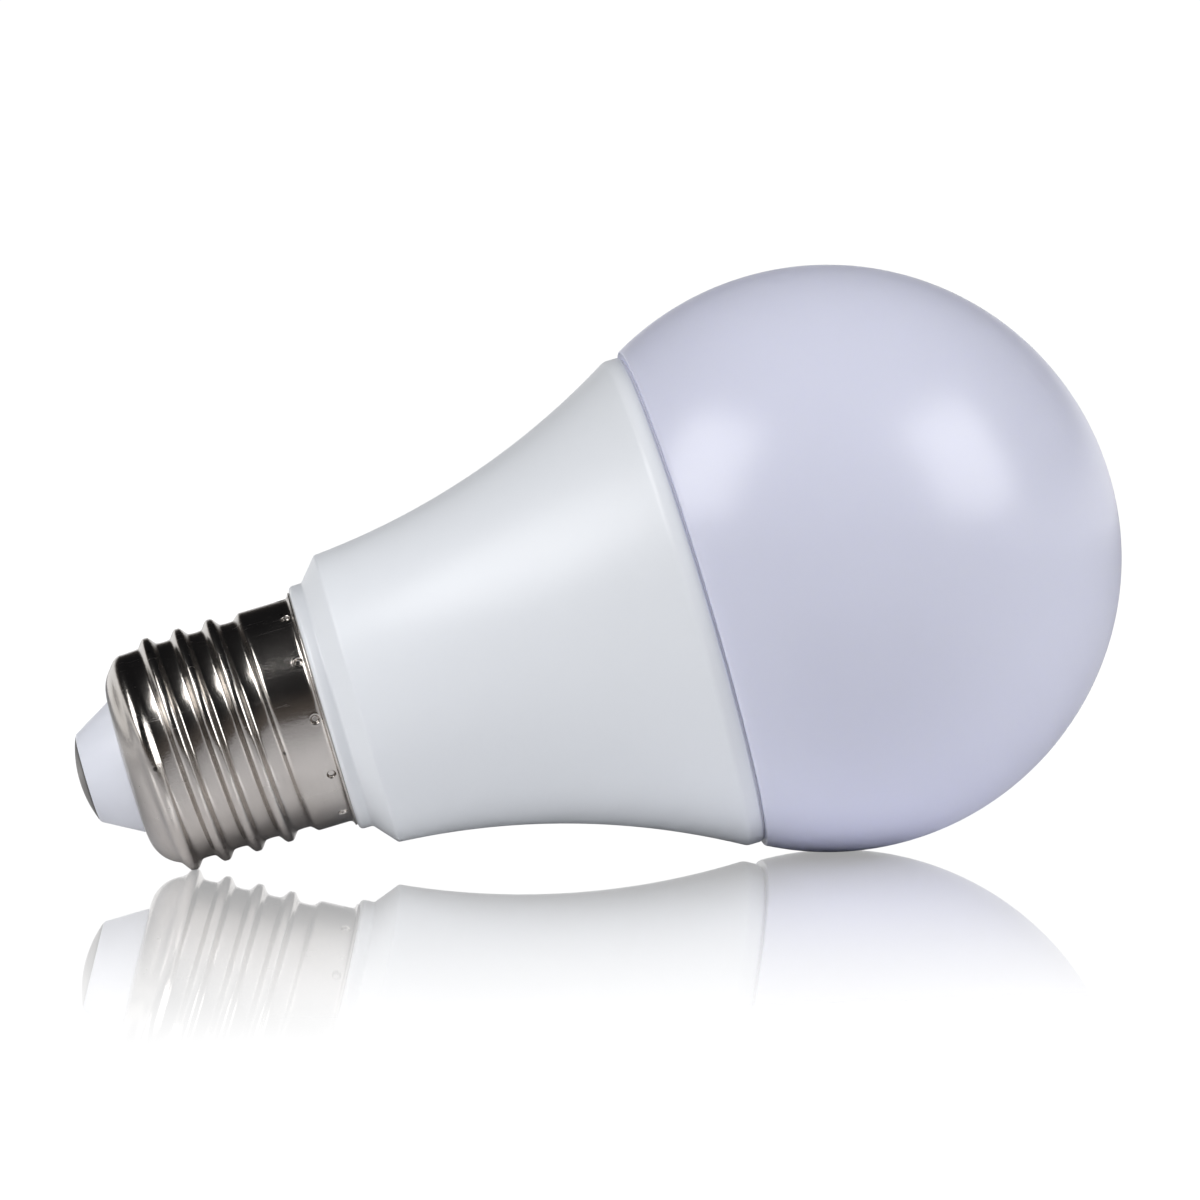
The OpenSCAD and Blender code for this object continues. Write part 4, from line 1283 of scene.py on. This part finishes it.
def soft_box(name, way, power, aim):
    """A soft box along a direction from the bulb, facing it."""
    data = bpy.data.lights.new(name, "AREA")
    data.shape = "RECTANGLE"
    data.size, data.size_y = BOX_SIZE
    data.energy = power
    light = bpy.data.objects.new(name, data)
    bpy.context.collection.objects.link(light)
    way = Vector(way).normalized()
    light.location = aim + way * BOX_DISTANCE
    light.rotation_euler = way.to_track_quat("Z", "Y").to_euler()


class BULB_OT_studio(bpy.types.Operator):
    """Sets up the table, the white room, the soft boxes and the camera"""
    bl_idname = "bulb.studio"
    bl_label = "Studio"

    def execute(self, context):
        scene = context.scene
        s = scene.bulb_studio
        scene.view_settings.view_transform = "Standard"
        bm = bmesh.new()
        bmesh.ops.create_grid(bm, x_segments=8, y_segments=8, size=6.0)
        mesh = bpy.data.meshes.new("table")
        bm.to_mesh(mesh)
        bm.free()
        mesh.materials.append(table_finish(tuple(finishes().floor)))
        table = bpy.data.objects.new("table", mesh)
        scene.collection.objects.link(table)
        white_room()
        aim = Vector((s.aim_x, 0, s.aim_z))
        soft_box("soft_box_left", (-0.71, -0.40, 0.58), s.box_power, aim)
        soft_box(
            "soft_box_right", (0.72, -0.43, 0.545), s.box_power * RIGHT_BOX_SHARE, aim
        )
        self.camera(scene, s, aim)
        return {"FINISHED"}

    def camera(self, scene, s, aim):
        """Stands the camera where the settings say."""
        back = Vector((
            sin(s.azimuth) * cos(s.elevation),
            -cos(s.azimuth) * cos(s.elevation),
            sin(s.elevation),
        ))
        level = Vector((cos(s.azimuth), sin(s.azimuth), 0))
        upright = back.cross(level)
        right = level * cos(s.roll) + upright * sin(s.roll)
        up = upright * cos(s.roll) - level * sin(s.roll)
        data = bpy.data.cameras.new("camera")
        data.lens = s.lens
        data.sensor_width = 36
        data.clip_start = 0.01
        camera = bpy.data.objects.new("camera", data)
        scene.collection.objects.link(camera)
        turn = Matrix((right, up, back)).transposed().to_4x4()
        camera.matrix_world = Matrix.Translation(aim + back * s.distance) @ turn
        scene.camera = camera


OPERATORS = (
    BULB_OT_studio,
    BULB_OT_contact,
    BULB_OT_insulator,
    BULB_OT_shell,
    BULB_OT_housing,
    BULB_OT_globe,
    BULB_OT_seal,
    BULB_OT_inside,
)


class BULB_PT_build(bpy.types.Panel):
    """Lists the bulb's sizes, colours and building steps"""
    bl_idname = "BULB_PT_build"
    bl_label = "Wireless LED bulb"
    bl_space_type = "VIEW_3D"
    bl_region_type = "UI"
    bl_category = "Bulb"

    def draw(self, context):
        layout = self.layout
        scene = context.scene
        for title, sizes in (
            ("Cap", scene.bulb_cap),
            ("Body", scene.bulb_body),
            ("Colours", scene.bulb_finishes),
            ("Studio", scene.bulb_studio),
        ):
            box = layout.box()
            box.label(text=title)
            for name in sizes.__annotations__:
                box.prop(sizes, name)
        for operator in OPERATORS:
            layout.operator(operator.bl_idname)


GROUPS = {
    "bulb_cap": CapSizes,
    "bulb_body": BodySizes,
    "bulb_finishes": Finishes,
    "bulb_studio": StudioSettings,
}


def register():
    for name, sizes in GROUPS.items():
        bpy.utils.register_class(sizes)
        setattr(bpy.types.Scene, name, bpy.props.PointerProperty(type=sizes))
    for operator in OPERATORS:
        bpy.utils.register_class(operator)
    bpy.utils.register_class(BULB_PT_build)


def unregister():
    bpy.utils.unregister_class(BULB_PT_build)
    for operator in reversed(OPERATORS):
        bpy.utils.unregister_class(operator)
    for name, sizes in GROUPS.items():
        delattr(bpy.types.Scene, name)
        bpy.utils.unregister_class(sizes)


def main():
    """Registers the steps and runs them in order."""
    register()
    bpy.ops.bulb.studio()
    bpy.ops.bulb.contact()
    bpy.ops.bulb.insulator()
    bpy.ops.bulb.shell()
    bpy.ops.bulb.housing()
    bpy.ops.bulb.globe()
    bpy.ops.bulb.seal()
    bpy.ops.bulb.inside()


if __name__ == "__main__":
    main()
